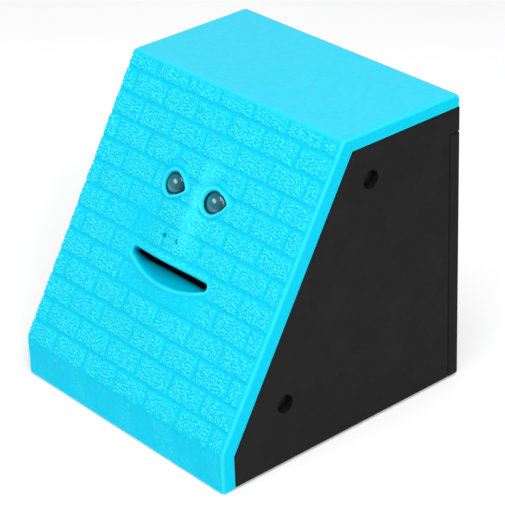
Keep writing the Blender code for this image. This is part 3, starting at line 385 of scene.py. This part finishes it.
def painted_edge_highlights(x, along, mouth, eyes, worms):
    """Painted highlights along the lips, the eyes' rims and the nose, painted paler as if lit."""
    highlight = 0.75 * (0.4 + 0.6 * lip_side(along)) * bell(mouth, 0.85, 0.4)
    for near in eyes:
        highlight += 0.85 * bell(near, 0.8, 0.4)
    # Painted highlight on the nose's right flank, where light falls.
    return highlight + 0.45 * bell(x, 3.4, 2.8) * window(along, *NOSE_HIGHLIGHT) * (1 + 0.5 * worms)


def relief(x, along):
    """Height of the skin over its plain surface, and its painted light: 0 is plain and 1 is a full painted
    highlight.
    """
    points = np.column_stack((x, along))
    mouth = outline_distance(points, MOUTH_LINE)
    eyes = [outline_distance(points, line) for line in EYE_LINES]
    raised, own = bricks(x, along)
    worms = np.tanh(2.0 * WORMS(x, along) + 0.6 * PITS(x, along))
    cover = brick_cover(x, along, mouth, eyes)
    foot = foot_cover(x, along)
    bricked = -JOINT_DEPTH + raised * (BRICK_RISE + BRICK_UNEVEN * own + WORM_RISE * worms)
    bare = BARE_WAVES * PITS(x * 0.6, along * 0.6) * smooth(0.0, 3.0, along)
    height = cover * bricked + (1 - cover) * bare + foot * FOOT_WORMS * worms
    height += rims(x, along, mouth, eyes) + face_form(x, along)
    # Painted sheen: the raised worm ridges of the bricks and the foot's faint texture are painted paler, as
    # if catching light.
    painted_light = (cover * raised + foot) * smooth(0.1, 0.95, worms)
    return height, painted_light + painted_edge_highlights(x, along, mouth, eyes, worms)


# ---- the skin's nominal surface -------------------------------------------------------------
HEADINGS = np.radians((90.0, 180.0, 180.0 + math.degrees(LEAN), 270.0))
CORNERS = np.array(((REAR, TOP), (BROW_Y, TOP), (FRONT, KICK)))
CORNER_ALONG = np.array((-TOP_DEPTH, 0.0, SLOPE))
ALONG_START = -TOP_DEPTH - BAND_TOP
ALONG_END = SLOPE + KICK - BASE


def band_knee(kick, slope):
    """z of the corner between foot and face on an outline moved inwards."""
    return KICK + (kick * SIN - slope) / COS


def band_brow(slope, top):
    """y of the corner between face and top on an outline moved inwards."""
    return FRONT + (slope + (TOP - top - KICK) * COS) / SIN


BAND_LINE = np.array(((REAR - SKIN, TOP - BAND_TOP), (REAR - SKIN, TOP - BAND_TOP),
                      (band_brow(BAND, BAND_TOP), TOP - BAND_TOP),
                      (FRONT + BAND_KICK, band_knee(BAND_KICK, BAND)), (FRONT + BAND_KICK, BASE)))
INNER_LINE = np.array(((REAR - SKIN, TOP - BAND_TOP), (REAR - SKIN, TOP - SKIN),
                       (band_brow(SKIN, SKIN), TOP - SKIN),
                       (FRONT + SKIN, band_knee(SKIN, SKIN)), (FRONT + SKIN, BASE)))
LINE_ALONG = np.array((ALONG_START, -TOP_DEPTH, 0.0, SLOPE, ALONG_END))


def surface(along):
    """(y, z) of the middle profile and its outward normal, with the corners rounded."""
    along = np.asarray(along, float)
    segment = np.searchsorted(CORNER_ALONG, along)
    heading = HEADINGS[segment]
    anchor = np.clip(segment - 1, 0, None)
    corner = CORNERS[anchor]
    ahead = along - CORNER_ALONG[anchor]
    place = corner + np.column_stack((np.cos(heading), np.sin(heading))) * ahead[:, None]
    for k, radius in enumerate(CORNER_RADII):
        turn = HEADINGS[k + 1] - HEADINGS[k]
        tangent = radius * math.tan(turn / 2)
        share = (along - CORNER_ALONG[k] + tangent) / (2 * tangent)
        bent = (share > 0) & (share < 1)
        middle = HEADINGS[k] + turn / 2
        inward = np.array((-math.sin(middle), math.cos(middle)))
        centre = CORNERS[k] + inward * radius / math.cos(turn / 2)
        angle = HEADINGS[k] + turn * share[bent]
        heading[bent] = angle
        place[bent] = centre + radius * np.column_stack((np.sin(angle), -np.cos(angle)))
    return place, np.column_stack((np.sin(heading), -np.cos(heading)))


def band_point(along):
    """(y, z) where the band ends on the side of the box."""
    return np.column_stack([np.interp(along, LINE_ALONG, BAND_LINE[:, i]) for i in (0, 1)])


def skin_points(x, tilt, depth, along, height):
    """Points of the skin at x, turned by tilt round the side's edge and depth behind the surface,
    raised by height."""
    place, normal = surface(along)
    reach = band_point(along) - place
    length = np.maximum(np.linalg.norm(reach, axis=1, keepdims=True), 1e-6)
    plane = place + reach / length * np.minimum(depth[:, None], length)
    plane = plane + normal * (height * np.cos(tilt))[:, None]
    return np.column_stack((x + np.sign(x) * height * np.sin(tilt), plane))


def face_point(x, along, deep):
    """Points of the sloping face's own frame, for anything behind the surface."""
    return np.column_stack((x, BROW_Y - along * COS + deep * SIN, TOP - along * SIN - deep * COS))


def one_point(x, along, deep):
    """A single point of the face's frame."""
    return face_point(np.array([x]), np.array([along]), np.array([deep]))[0]


# ---- the skin's mesh ------------------------------------------------------------------------
def skin_rows():
    """Steps along the box: fine over the face, wide over the smooth top."""
    bend_start, bend_end = -TOP_DEPTH - BEND_REACH, -TOP_DEPTH + BEND_REACH
    rear = np.linspace(ALONG_START, bend_start, 3)[:-1]
    bend = np.linspace(bend_start, bend_end, 9)[:-1]
    top = np.linspace(bend_end, FINE_START, 22)[:-1]
    face = np.arange(FINE_START, ALONG_END - 0.5 * FINE, FINE)
    return np.concatenate((rear, bend, top, face, (ALONG_END,)))


def skin_columns():
    """(x, tilt, depth) of each column, from the left band's end to the right band's end."""
    half = HALF_W - SIDE_RADIUS
    flat = np.linspace(-half, half, int(2 * half / FINE) + 1)
    edge = [(half + SIDE_RADIUS * math.sin(turn), turn, SIDE_RADIUS * (1 - math.cos(turn)))
            for turn in np.linspace(0, math.pi / 2, 6)[1:]]
    # The last column asks for more than the band's depth, and skin_points stops it at the band's end.
    spare = BAND + 0.6 - SIDE_RADIUS
    edge += [(HALF_W, math.pi / 2, SIDE_RADIUS + spare * i / 4) for i in range(1, 5)]
    left = [(-x, tilt, depth) for x, tilt, depth in reversed(edge)]
    return np.array(left + [(x, 0.0, 0.0) for x in flat] + edge)


class SkinMesh:
    """Collects the skin's points and faces; a grid point that a hole takes away keeps no face."""

    def __init__(self):
        self.rows = skin_rows()
        self.columns = skin_columns()
        self.width = len(self.columns)
        along = np.repeat(self.rows, self.width)
        x, tilt, depth = np.tile(self.columns, (len(self.rows), 1)).T
        height, painted_light = relief(x, along)
        fade = 1 - smooth(0.5, 1.3, tilt)         # the relief dies out round the side's edge
        self.points = list(skin_points(x, tilt, depth, along, height * fade))
        # Painted highlights: a pale line along the side's rounded edge and along the brow, as if lit.
        side_edge_highlight = 0.65 * bell(tilt, 0.75, 0.5)
        brow_highlight = 0.35 * bell(along, 0.0, 0.7) * (tilt == 0)
        self.painted_lights = list(painted_light * fade + side_edge_highlight + brow_highlight)
        self.pull = list(jaw_pull(x, along))
        self.solid = np.ones((len(self.rows) - 1, self.width - 1), bool)
        self.faces = []

    def add_points(self, points, painted_lights, pulls):
        """Add loose points and return their indices."""
        first = len(self.points)
        self.points += list(points)
        self.painted_lights += list(painted_lights)
        self.pull += list(pulls)
        return list(range(first, len(self.points)))

    def fill_flat(self, index, flat, holes, border=()):
        """Triangulate flat points but for the holes, each given as its first place and its length.
        index says which mesh point each flat point is."""
        flat = np.asarray(flat)
        edges = list(border)
        for first, count in holes:
            edges += [(first + i, first + (i + 1) % count) for i in range(count)]
        cut = delaunay_2d_cdt([Vector(p) for p in flat], edges, [], 0, CUT_EXACT)
        places, faces, origins = cut[0], cut[2], cut[3]
        middles = np.array([np.mean([places[v] for v in face], axis=0) for face in faces])
        keep = np.ones(len(faces), bool)
        for first, count in holes:
            keep &= outline_distance(middles, flat[first:first + count]) > 0
        self.faces += [[index[origins[v][0]] for v in face] for face, kept in zip(faces, keep) if kept]

    def open_hole(self, outline, margin):
        """Cut an outline out of the grid: the cells round it are triangulated afresh. Returns its loop."""
        low, high = outline.min(0) - margin, outline.max(0) + margin
        c0, c1 = np.searchsorted(self.columns[:, 0], (low[0], high[0]))
        r0, r1 = np.searchsorted(self.rows, (low[1], high[1]))
        self.solid[r0:r1, c0:c1] = False
        cells = [(r, c) for r in range(r0, r1 + 1) for c in range(c0, c1 + 1)]
        flat = np.array([(self.columns[c, 0], self.rows[r]) for r, c in cells])
        border = np.array([r in (r0, r1) or c in (c0, c1) for r, c in cells])
        kept = border | (outline_distance(flat, outline) > 0.55 * FINE)
        index = [r * self.width + c for (r, c), keep in zip(cells, kept) if keep]
        height, painted_light = relief(outline[:, 0], outline[:, 1])
        loop = self.add_points(rim_points(outline, height), painted_light, jaw_pull(*outline.T))
        self.fill_flat(index + loop, np.vstack((flat[kept], outline)), [(len(index), len(loop))])
        return loop

    def join(self, near, far):
        """Faces between two loops of the same length."""
        count = len(near)
        self.faces += [[near[i], near[(i + 1) % count], far[(i + 1) % count], far[i]] for i in range(count)]

    def grid_faces(self):
        """Faces of every grid cell that no hole has taken."""
        rows, columns = np.nonzero(self.solid)
        corner = rows * self.width + columns
        return np.column_stack((corner, corner + 1, corner + self.width + 1, corner + self.width)).tolist()

    def edge_row(self, row):
        """Indices of one row's points."""
        return [row * self.width + c for c in range(self.width)]

    def edge_column(self, column):
        """Indices of one column's points."""
        return [r * self.width + column for r in range(len(self.rows))]


def rim_points(outline, height):
    """Points of a hole's edge on the surface of the face."""
    count = len(outline)
    return skin_points(outline[:, 0], np.zeros(count), np.zeros(count), outline[:, 1], height)


def jaw_pull(x, along):
    """How far the skin follows the jaw: fully at the middle of the lower lip, less towards its ends
    and down the chin, and not at all above the mouth's middle line."""
    sideways = 1 - np.minimum(np.abs(x - MOUTH_X) / (MOUTH_HALF + MOUTH_END), 1.0) ** PULL_ROUND
    down = smooth(lip_edge(x) + PULL_FADE, lip_edge(x), along)
    return (along > MOUTH_TOP + MOUTH_END) * sideways * down


def outward(outline):
    """Unit vectors square to a closed outline, pointing away from the hole."""
    step = np.roll(outline, -1, axis=0) - np.roll(outline, 1, axis=0)
    side = np.column_stack((step[:, 1], -step[:, 0]))
    side /= np.linalg.norm(side, axis=1, keepdims=True)
    flip = np.sign(np.sum(side * (outline - outline.mean(0)), axis=1).sum())
    return side * flip


def build_mouth(skin):
    """Upper lip with a short wall, and a lower lip that slopes in to the coin slot."""
    loop = skin.open_hole(MOUTH_LINE, 2.0)
    x, along = MOUTH_LINE.T
    side_x, side_along = outward(MOUTH_LINE).T
    lower = smooth(MOUTH_TOP + MOUTH_END, MOUTH_TOP + 2 * MOUTH_END + 0.3, along)
    back = np.minimum(SLOT_BACK, along - 0.4)
    swell = face_form(x, along)
    pull = jaw_pull(x, along)
    for offset, wall, climb, deep in MOUTH_RINGS:
        low_along = along - climb * (along - back) + LIP_TUCK * max(0.0, -climb)
        ring_x = (x + side_x * offset) * (1 - lower) + x * lower
        ring_along = (along + side_along * offset) * (1 - lower) + low_along * lower
        ring_deep = wall * (1 - lower) + deep * lower
        ring_deep -= 0.6 * swell * (1 - smooth(0.8, SKIN, ring_deep))
        # A painted light below 0 is painted shade inside the mouth: full on the inner rings, lighter on the
        # first and the last.
        painted_mouth_shade = np.full(len(x), -1.0 if climb > 0.1 else -0.3)
        ring = skin.add_points(face_point(ring_x, ring_along, ring_deep), painted_mouth_shade, pull)
        skin.join(loop, ring)
        loop = ring
    return loop


def plain_ring(skin, loop, outline, deep):
    """Join a loop to a new ring of plain points behind the surface, which stay where they are."""
    none = np.zeros(len(outline))
    ring = skin.add_points(face_point(*outline.T, deep), none, none)
    skin.join(loop, ring)
    return ring


def build_eye_rim(skin, which):
    """Edge of an eye opening, turned in towards the bead."""
    outline = EYE_LINES[which]
    loop = skin.open_hole(outline, 1.6)
    side = outward(outline)
    swell = face_form(*outline.T)
    for offset, deep in EYE_EDGE:
        lift = 0.0 if deep == SKIN else 0.5 * swell
        loop = plain_ring(skin, loop, outline + side * offset, deep - lift)
    return loop


def build_sensor_hole(skin, which):
    """A straight pinhole through the skin."""
    outline = sensor_outline(which)
    return plain_ring(skin, skin.open_hole(outline, 0.9), outline, SKIN)


def side_points(skin, line):
    """A line's points on the inner side of both bands, by end."""
    half, none = HALF_W - SKIN, np.zeros(len(line))
    return {end: skin.add_points([(end * half, y, z) for y, z in line], none, none) for end in (-1, 1)}


def close_skin(skin, loops):
    """The skin's inner faces: flat, so that they need few corners, and open at the holes."""
    inner = side_points(skin, INNER_LINE)
    rim = side_points(skin, BAND_LINE)
    for k in (0, 1, 3):
        skin.faces.append([inner[-1][k], inner[1][k], inner[1][k + 1], inner[-1][k + 1]])
    for end in (-1, 1):
        skin.faces.append(inner[end] + rim[end][:1:-1])
    for end, column in ((-1, skin.edge_column(0)), (1, skin.edge_column(skin.width - 1))):
        for k in range(1, 4):
            low, high = LINE_ALONG[k] - 1e-6, LINE_ALONG[k + 1] + 1e-6
            strip = [v for v, along in zip(column, skin.rows) if low <= along <= high]
            skin.faces.append(strip + [rim[end][k + 1], rim[end][k]])
    skin.faces.append(skin.edge_row(0) + [inner[1][0], inner[-1][0]])
    foot = [rim[1][4], inner[1][4], inner[-1][4], rim[-1][4]]
    skin.faces.append(skin.edge_row(len(skin.rows) - 1) + foot)
    # The face's inner side is one plane with holes in it.
    index = [inner[-1][2], inner[1][2], inner[1][3], inner[-1][3]]
    border = [(0, 1), (1, 2), (2, 3), (3, 0)]
    holes = []
    for loop in loops:
        holes.append((len(index), len(loop)))
        index += loop
    x, y, z = np.array([skin.points[v] for v in index]).T
    skin.fill_flat(index, np.column_stack((x, (TOP - z) * SIN + (BROW_Y - y) * COS)), holes, border)


def build_skin(look):
    """The rubber skin with its relief, as one closed piece that follows the jaw at the lower lip."""
    skin = SkinMesh()
    loops = [build_mouth(skin)]
    loops += [build_eye_rim(skin, which) for which in (0, 1)]
    loops += [build_sensor_hole(skin, which) for which in (0, 1)]
    close_skin(skin, loops)
    faces = skin.faces + skin.grid_faces()
    used = sorted({v for face in faces for v in face})
    renumber = {old: new for new, old in enumerate(used)}
    mesh = new_mesh("rubber_skin", [skin.points[v] for v in used],
                    [[renumber[v] for v in face] for face in faces])
    # The first attribute holds the painted light: painted highlight above 0 and painted shade below 0.
    for name, values in (("painted_light", skin.painted_lights), ("pull", skin.pull)):
        attribute = mesh.attributes.new(name, "FLOAT", "POINT")
        attribute.data.foreach_set("value", np.array([values[v] for v in used], np.float32))
    clean_mesh(mesh, look, SKIN_SHARP)
    piece = new_object("rubber_skin", mesh)
    lip = Vector(one_point(MOUTH_X, MOUTH_BOTTOM, 0.0)) * MM
    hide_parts("face_skin", "lower_lip")
    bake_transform(piece, "root", "jaw", start=lip + Vector((0, 0, 0.01)), end=lip)
    # The blend's straight ramp gives way to the lip's own: the mouth's corners stay in place.
    pull = np.zeros(len(mesh.vertices), np.float32)
    mesh.attributes["pull"].data.foreach_get("value", pull)
    mesh.attributes["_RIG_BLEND"].data.foreach_set("value", pull)
    mesh.attributes.remove(mesh.attributes["pull"])


# ---- eyes -----------------------------------------------------------------------------------
def turned_mesh(name, profile, segments, look, place):
    """A solid turned about local Z from (radius, height) points, put in place by a matrix."""
    angles = np.linspace(0, 2 * math.pi, segments, endpoint=False)
    points = [place @ Vector((radius * math.cos(a), radius * math.sin(a), height))
              for radius, height in profile for a in angles]
    faces = []
    for k in range(len(profile) - 1):
        for i in range(segments):
            near, far = k * segments, (k + 1) * segments
            j = (i + 1) % segments
            faces.append([near + i, near + j, far + j, far + i])
    mesh = new_mesh(name, points, faces)
    clean_mesh(mesh, look)
    return new_object(name, mesh)


def build_eyes(look):
    """A polished bead behind each opening, on a flange."""
    turn_out = Matrix.Rotation(LEAN, 4, "X")
    out = Vector((0.0, -SIN, COS))
    flange = [(0.0, -2.9), (5.8, -2.9), (6.0, -2.7), (6.0, -1.5), (5.8, -1.3), (EYE_BALL, -1.3)]
    bead = [(EYE_BALL * math.cos(a), EYE_BALL * math.sin(a)) for a in np.linspace(0, math.pi / 2, 25)]
    for name, (x, along) in zip(("eye_left", "eye_right"), EYES):
        centre = Vector(one_point(x, along, EYE_DEEP))
        place = Matrix.Translation(centre) @ turn_out
        piece = turned_mesh(f"bead_{name}", flange + bead, 64, look, place)
        # "outer" is 0 in the middle of the bead and 1 at its edge.
        outer = piece.data.attributes.new("outer", "FLOAT", "POINT")
        for vertex, value in zip(piece.data.vertices, outer.data):
            away = vertex.co / MM - centre
            value.value = min(1.0, (away - out * away.dot(out)).length / EYE_BALL)
        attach(piece, "root")
        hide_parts(name)


# ---- materials ------------------------------------------------------------------------------
RUBBER = (0.002, 0.640, 0.855)
NOISE_MIDDLE = (0.3, 0.7)           # nearly all of a noise's values lie between these
COPPER_START = 11.0                 # across, of the line where a cell's sleeve turns copper
TRACK_PITCH = 9.0                   # size of the circuit board's pattern


def principled(name, color, roughness, metallic=0.0, specular=0.5):
    """A material with a Principled shader; returns it with its node tree and shader."""
    made = bpy.data.materials.new(name)
    made.use_nodes = True
    shader = made.node_tree.nodes["Principled BSDF"]
    shader.inputs["Base Color"].default_value = (*color, 1.0)
    shader.inputs["Roughness"].default_value = roughness
    shader.inputs["Metallic"].default_value = metallic
    shader.inputs["Specular IOR Level"].default_value = specular
    return made, made.node_tree, shader


def add_noise(tree, size, detail=3.0, stretch=(1.0, 1.0, 1.0)):
    """Noise whose features are about size millimetres across, in the object's own coordinates."""
    place = tree.nodes.new("ShaderNodeTexCoord")
    spread = tree.nodes.new("ShaderNodeMapping")
    spread.inputs["Scale"].default_value = stretch
    noise = tree.nodes.new("ShaderNodeTexNoise")
    noise.inputs["Scale"].default_value = 1.0 / (size * MM)
    noise.inputs["Detail"].default_value = detail
    tree.links.new(place.outputs["Object"], spread.inputs["Vector"])
    tree.links.new(spread.outputs["Vector"], noise.inputs["Vector"])
    return noise.outputs["Fac"]


def add_range(tree, value, low, high, span=NOISE_MIDDLE):
    """Map a span of a value, unless told otherwise a noise's, onto low to high."""
    node = tree.nodes.new("ShaderNodeMapRange")
    node.inputs["From Min"].default_value, node.inputs["From Max"].default_value = span
    node.inputs["To Min"].default_value = low
    node.inputs["To Max"].default_value = high
    tree.links.new(value, node.inputs["Value"])
    return node.outputs["Result"]


def add_attribute(tree, name):
    """A value stored on the mesh's points."""
    node = tree.nodes.new("ShaderNodeAttribute")
    node.attribute_name = name
    return node.outputs["Fac"]


def add_math(tree, operation, value, number):
    """A sum done on a socket and a number."""
    node = tree.nodes.new("ShaderNodeMath")
    node.operation = operation
    node.inputs[1].default_value = number
    tree.links.new(value, node.inputs[0])
    return node.outputs[0]


def add_mix(tree, factor, first, second):
    """A colour between two colours or sockets."""
    node = tree.nodes.new("ShaderNodeMix")
    node.data_type = "RGBA"
    tree.links.new(factor, node.inputs["Factor"])
    for socket, value in ((node.inputs[6], first), (node.inputs[7], second)):
        if isinstance(value, tuple):
            socket.default_value = (*value, 1.0)
        else:
            tree.links.new(value, socket)
    return node.outputs[2]


def add_bump(tree, shader, value, distance, below=None):
    """Bump of a height in millimetres, on top of another bump if one is given."""
    node = tree.nodes.new("ShaderNodeBump")
    node.inputs["Distance"].default_value = distance * MM
    node.inputs["Strength"].default_value = 1.0
    tree.links.new(value, node.inputs["Height"])
    if below is not None:
        tree.links.new(below, node.inputs["Normal"])
    tree.links.new(node.outputs["Normal"], shader.inputs["Normal"])
    return node.outputs["Normal"]


def moulded(name, color, roughness, grain=0.35, depth=0.012, specular=0.5, vary=0.12):
    """Moulded plastic or rubber: fine grain, faint cloudiness and uneven gloss."""
    made, tree, shader = principled(name, color, roughness, specular=specular)
    cloud = add_range(tree, add_noise(tree, 9.0, 4.0), 0.0, 1.0)
    darker = tuple(c * (1 - vary) for c in color)
    lighter = tuple(min(1.0, c * (1 + vary)) for c in color)
    tree.links.new(add_mix(tree, cloud, darker, lighter), shader.inputs["Base Color"])
    gloss = add_range(tree, add_noise(tree, 2.5, 4.0), roughness - 0.05, roughness + 0.06)
    tree.links.new(gloss, shader.inputs["Roughness"])
    add_bump(tree, shader, add_noise(tree, grain, 2.0), depth)
    return made


def metal(name, color, roughness):
    """Plated or turned metal with fine marks and an uneven tint."""
    made, tree, shader = principled(name, color, roughness, metallic=1.0)
    marks = add_noise(tree, 0.6, 4.0)
    gloss = add_range(tree, marks, roughness - 0.08, roughness + 0.12)
    tree.links.new(gloss, shader.inputs["Roughness"])
    tint = add_range(tree, add_noise(tree, 4.0, 3.0), 0.0, 1.0)
    darker = tuple(c * 0.8 for c in color)
    tree.links.new(add_mix(tree, tint, darker, color), shader.inputs["Base Color"])
    add_bump(tree, shader, marks, 0.01)
    return made


def skin_look():
    """Cyan rubber with fine pores: painted highlight where the painted light is above 0, and painted shade
    where it is below.
    """
    made, tree, shader = principled("cyan_rubber_skin", RUBBER, 0.46, specular=0.03)
    painted_light = add_attribute(tree, "painted_light")
    cloud = add_range(tree, add_noise(tree, 2.0, 6.0), 0.0, 1.0)
    base = add_mix(tree, cloud, (0.0, 0.535, 0.745), (0.0, 0.575, 0.790))
    # Painted highlight: a painted light above 0 turns the rubber paler and redder, like a sheen.
    highlighted_color = add_mix(tree, painted_light, base, (0.044, 0.750, 0.890))
    # Painted shade: a painted light below 0 darkens the rubber inside the mouth.
    inner = add_math(tree, "MULTIPLY", painted_light, -1.0)
    tree.links.new(add_mix(tree, inner, highlighted_color, (0.0, 0.400, 0.540)), shader.inputs["Base Color"])
    gloss = add_range(tree, add_noise(tree, 1.4, 3.0), 0.42, 0.54)
    tree.links.new(gloss, shader.inputs["Roughness"])
    pores = add_bump(tree, shader, add_noise(tree, 0.22, 2.0), 0.010)
    add_bump(tree, shader, add_noise(tree, 1.2, 3.0), 0.02, pores)
    return made


def eye_look():
    """Dark teal bead, polished and a little paler in the middle, dull at its edge, and darkened towards its
    edge by painted shade.
    """
    made, tree, shader = principled("eye_bead", (0.002, 0.120, 0.155), 0.10, specular=0.9)
    outer = add_attribute(tree, "outer")
    # Painted shade: this mask darkens the bead's colour towards its edge.
    edge = add_range(tree, outer, 0.0, 1.0, (0.30, 0.85))
    cloud = add_range(tree, add_noise(tree, 2.2, 2.0, (0.6, 1.0, 1.0)), 0.0, 1.0)
    middle = add_mix(tree, cloud, (0.001, 0.105, 0.145), (0.016, 0.185, 0.235))
    tree.links.new(add_mix(tree, edge, middle, (0.000, 0.030, 0.045)), shader.inputs["Base Color"])
    tree.links.new(add_range(tree, outer, 0.10, 0.55, (0.60, 1.0)), shader.inputs["Roughness"])
    add_bump(tree, shader, add_noise(tree, 0.8, 2.0), 0.003)
    return made


def cell_look():
    """Battery jacket: a plain green sleeve with a copper-coloured end."""
    made, tree, shader = principled("cell_jacket", (0.05, 0.22, 0.09), 0.3)
    place = tree.nodes.new("ShaderNodeTexCoord")
    split = tree.nodes.new("ShaderNodeSeparateXYZ")
    tree.links.new(place.outputs["Object"], split.inputs["Vector"])
    end = add_math(tree, "GREATER_THAN", split.outputs["X"], COPPER_START * MM)
    scuffs = add_range(tree, add_noise(tree, 3.0, 5.0), 0.22, 0.42)
    tree.links.new(scuffs, shader.inputs["Roughness"])
    jacket = add_mix(tree, end, (0.04, 0.20, 0.08), (0.55, 0.27, 0.10))
    tree.links.new(jacket, shader.inputs["Base Color"])
    return made


def board_look():
    """Circuit board: green mask over a faint pattern of tracks."""
    made, tree, shader = principled("board_mask", (0.02, 0.16, 0.06), 0.35)
    tracks = tree.nodes.new("ShaderNodeTexBrick")
    tracks.inputs["Scale"].default_value = 1.0 / (TRACK_PITCH * MM)
    tracks.inputs["Mortar Size"].default_value = 0.06
    tracks.inputs["Color1"].default_value = (0.010, 0.110, 0.040, 1.0)
    tracks.inputs["Color2"].default_value = (0.014, 0.140, 0.050, 1.0)
    tracks.inputs["Mortar"].default_value = (0.030, 0.240, 0.090, 1.0)
    place = tree.nodes.new("ShaderNodeTexCoord")
    tree.links.new(place.outputs["Object"], tracks.inputs["Vector"])
    tree.links.new(tracks.outputs["Color"], shader.inputs["Base Color"])
    add_bump(tree, shader, tracks.outputs["Fac"], 0.03)
    return made


def all_looks():
    """One material for each of the record's material slots, and a near-black steel that is painted shade for
    the side screws.
    """
    return {
        "cyan_rubber": moulded("cyan_rubber", RUBBER, 0.46, 0.22, 0.010),
        "black_plastic": moulded("black_plastic", (0.0115, 0.0115, 0.0117), 0.55, 0.30, 0.014,
                                 specular=0.06),
        "grey_plastic": moulded("grey_plastic", (0.035, 0.035, 0.038), 0.55, specular=0.2),
        "white_plastic": moulded("white_plastic", (0.70, 0.70, 0.67), 0.40, 0.5, 0.008),
        "eye_gloss": eye_look(),
        "steel": metal("steel", (0.52, 0.53, 0.55), 0.32),
        # Near-black steel: painted shade for the side screws deep in their wells.
        "dark_steel": metal("dark_steel", (0.030, 0.030, 0.032), 0.50),
        "brass": metal("brass", (0.72, 0.50, 0.20), 0.28),
        "contact_metal": metal("contact_metal", (0.64, 0.64, 0.61), 0.22),
        "board_green": board_look(),
        "dark_plastic": moulded("dark_plastic", (0.012, 0.012, 0.013), 0.45, specular=0.2),
        "clear_lens": moulded("clear_lens", (0.66, 0.70, 0.74), 0.12, 1.0, 0.004, vary=0.05),
        "capacitor_blue": moulded("capacitor_blue", (0.025, 0.055, 0.230), 0.28),
        "red_plastic": moulded("red_plastic", (0.560, 0.028, 0.020), 0.42),
        "cell_label": cell_look(),
        "foot_rubber": moulded("foot_rubber", (0.022, 0.022, 0.022), 0.82, 0.25, 0.03),
        "red_wire": moulded("red_wire", (0.560, 0.020, 0.015), 0.45, 0.5, 0.006),
        "black_wire": moulded("black_wire", (0.015, 0.015, 0.016), 0.45, 0.5, 0.006),
    }


def dress_nodes(looks):
    """Give every node of the frame the material of its slot; the side screws get near-black steel, painted
    shade that keeps their wells dark.
    """
    for part in frame["record"]["subparts"]:
        name = part["node"]
        look = "dark_steel" if name.startswith("side_screw") else part["material_slot"]
        slots = frame["nodes"][name].data.materials
        slots.clear()
        slots.append(looks[look])


# ---- camera, floor and lights ---------------------------------------------------------------
CAMERA_TURN = math.radians(50.102)
CAMERA_RISE = math.radians(28.497)
CAMERA_ROLL = math.radians(-2.304)
CAMERA_FAR = 695.03
CAMERA_AIM = Vector((10.764, -2.470, 50.75))
CAMERA_LENS = 156.583
SENSOR_WIDTH = 36.0
FLOOR_REACH = 700.0       # half the side of the floor
FLOOR_GLOW = 0.18         # light of the floor's own, which keeps it pale and its shadows soft
WORLD_LIGHT = 0.30        # strength of the white surroundings as a light; the camera sees full white
LIGHT_FAR = 900.0
# Name, turn and rise in degrees, (width, height), power, and whether it is a reflection without light.
LIGHTS = (
    ("key", 75.0, 42.0, (500.0, 500.0), 4.3, False),
    ("fill", -30.0, 36.0, (520.0, 280.0), 2.4, False),
    ("top", 55.0, 74.0, (500.0, 500.0), 3.4, False),
    ("rim", 230.0, 30.0, (900.0, 500.0), 6.5, True),
)


def direction(turn, rise):
    """Unit vector towards a place seen at this turn from the front and rise above the floor."""
    return Vector((math.sin(turn) * math.cos(rise), -math.cos(turn) * math.cos(rise), math.sin(rise)))


def build_camera():
    """The view that the part is shown in."""
    lens = bpy.data.cameras.new("camera")
    lens.lens = CAMERA_LENS
    lens.sensor_width = SENSOR_WIDTH
    camera = new_object("camera", lens)
    back = direction(CAMERA_TURN, CAMERA_RISE)
    aim = (-back).to_track_quat("-Z", "Y").to_matrix().to_4x4()
    roll = Matrix.Rotation(CAMERA_ROLL, 4, "Z")
    camera.matrix_world = Matrix.Translation((CAMERA_AIM + back * CAMERA_FAR) * MM) @ aim @ roll
    bpy.context.scene.camera = camera


def build_floor():
    """A wide pale floor with a very slight unevenness."""
    made, tree, shader = principled("floor_paper", (0.94, 0.94, 0.94), 0.9, specular=0.1)
    paper = add_range(tree, add_noise(tree, 60.0, 3.0), 0.0, 1.0)
    shades = add_mix(tree, paper, (0.93, 0.93, 0.935), (0.95, 0.95, 0.95))
    tree.links.new(shades, shader.inputs["Base Color"])
    shader.inputs["Emission Color"].default_value = (1.0, 1.0, 1.0, 1.0)
    shader.inputs["Emission Strength"].default_value = FLOOR_GLOW
    corners = [(x * FLOOR_REACH, y * FLOOR_REACH, 0.0) for x, y in ((-1, -1), (1, -1), (1, 1), (-1, 1))]
    mesh = new_mesh("floor", corners, [[0, 1, 2, 3]])
    clean_mesh(mesh, made)
    new_object("floor", mesh)


def softbox(name, turn, rise, size, power, gloss_only):
    """An area light that faces the middle of the box; one for gloss only is a reflection without light."""
    light = bpy.data.lights.new(name, "AREA")
    light.shape = "RECTANGLE"
    light.size, light.size_y = (s * MM for s in size)
    light.energy = power
    towards = direction(math.radians(turn), math.radians(rise))
    lamp = new_object(name, light)
    spin = towards.to_track_quat("Z", "Y").to_matrix().to_4x4()
    lamp.matrix_world = Matrix.Translation((CAMERA_AIM + towards * LIGHT_FAR) * MM) @ spin
    lamp.visible_diffuse = not gloss_only


def build_studio():
    """Even light from all round, softboxes in front and overhead, and a reflection from behind."""
    world = bpy.data.worlds.new("studio")
    world.use_nodes = True
    tree = world.node_tree
    background = tree.nodes["Background"]
    background.inputs["Color"].default_value = (1.0, 1.0, 1.0, 1.0)
    rays = tree.nodes.new("ShaderNodeLightPath")
    seen = add_range(tree, rays.outputs["Is Camera Ray"], WORLD_LIGHT, 1.0, (0.0, 1.0))
    tree.links.new(seen, background.inputs["Strength"])
    bpy.context.scene.world = world
    bpy.context.scene.view_settings.view_transform = "Standard"
    for light in LIGHTS:
        softbox(*light)


# ---- build ----------------------------------------------------------------------------------
build_camera()
build_floor()
build_studio()
LOOKS = all_looks()
dress_nodes(LOOKS)
build_skin(skin_look())
build_eyes(LOOKS["eye_gloss"])
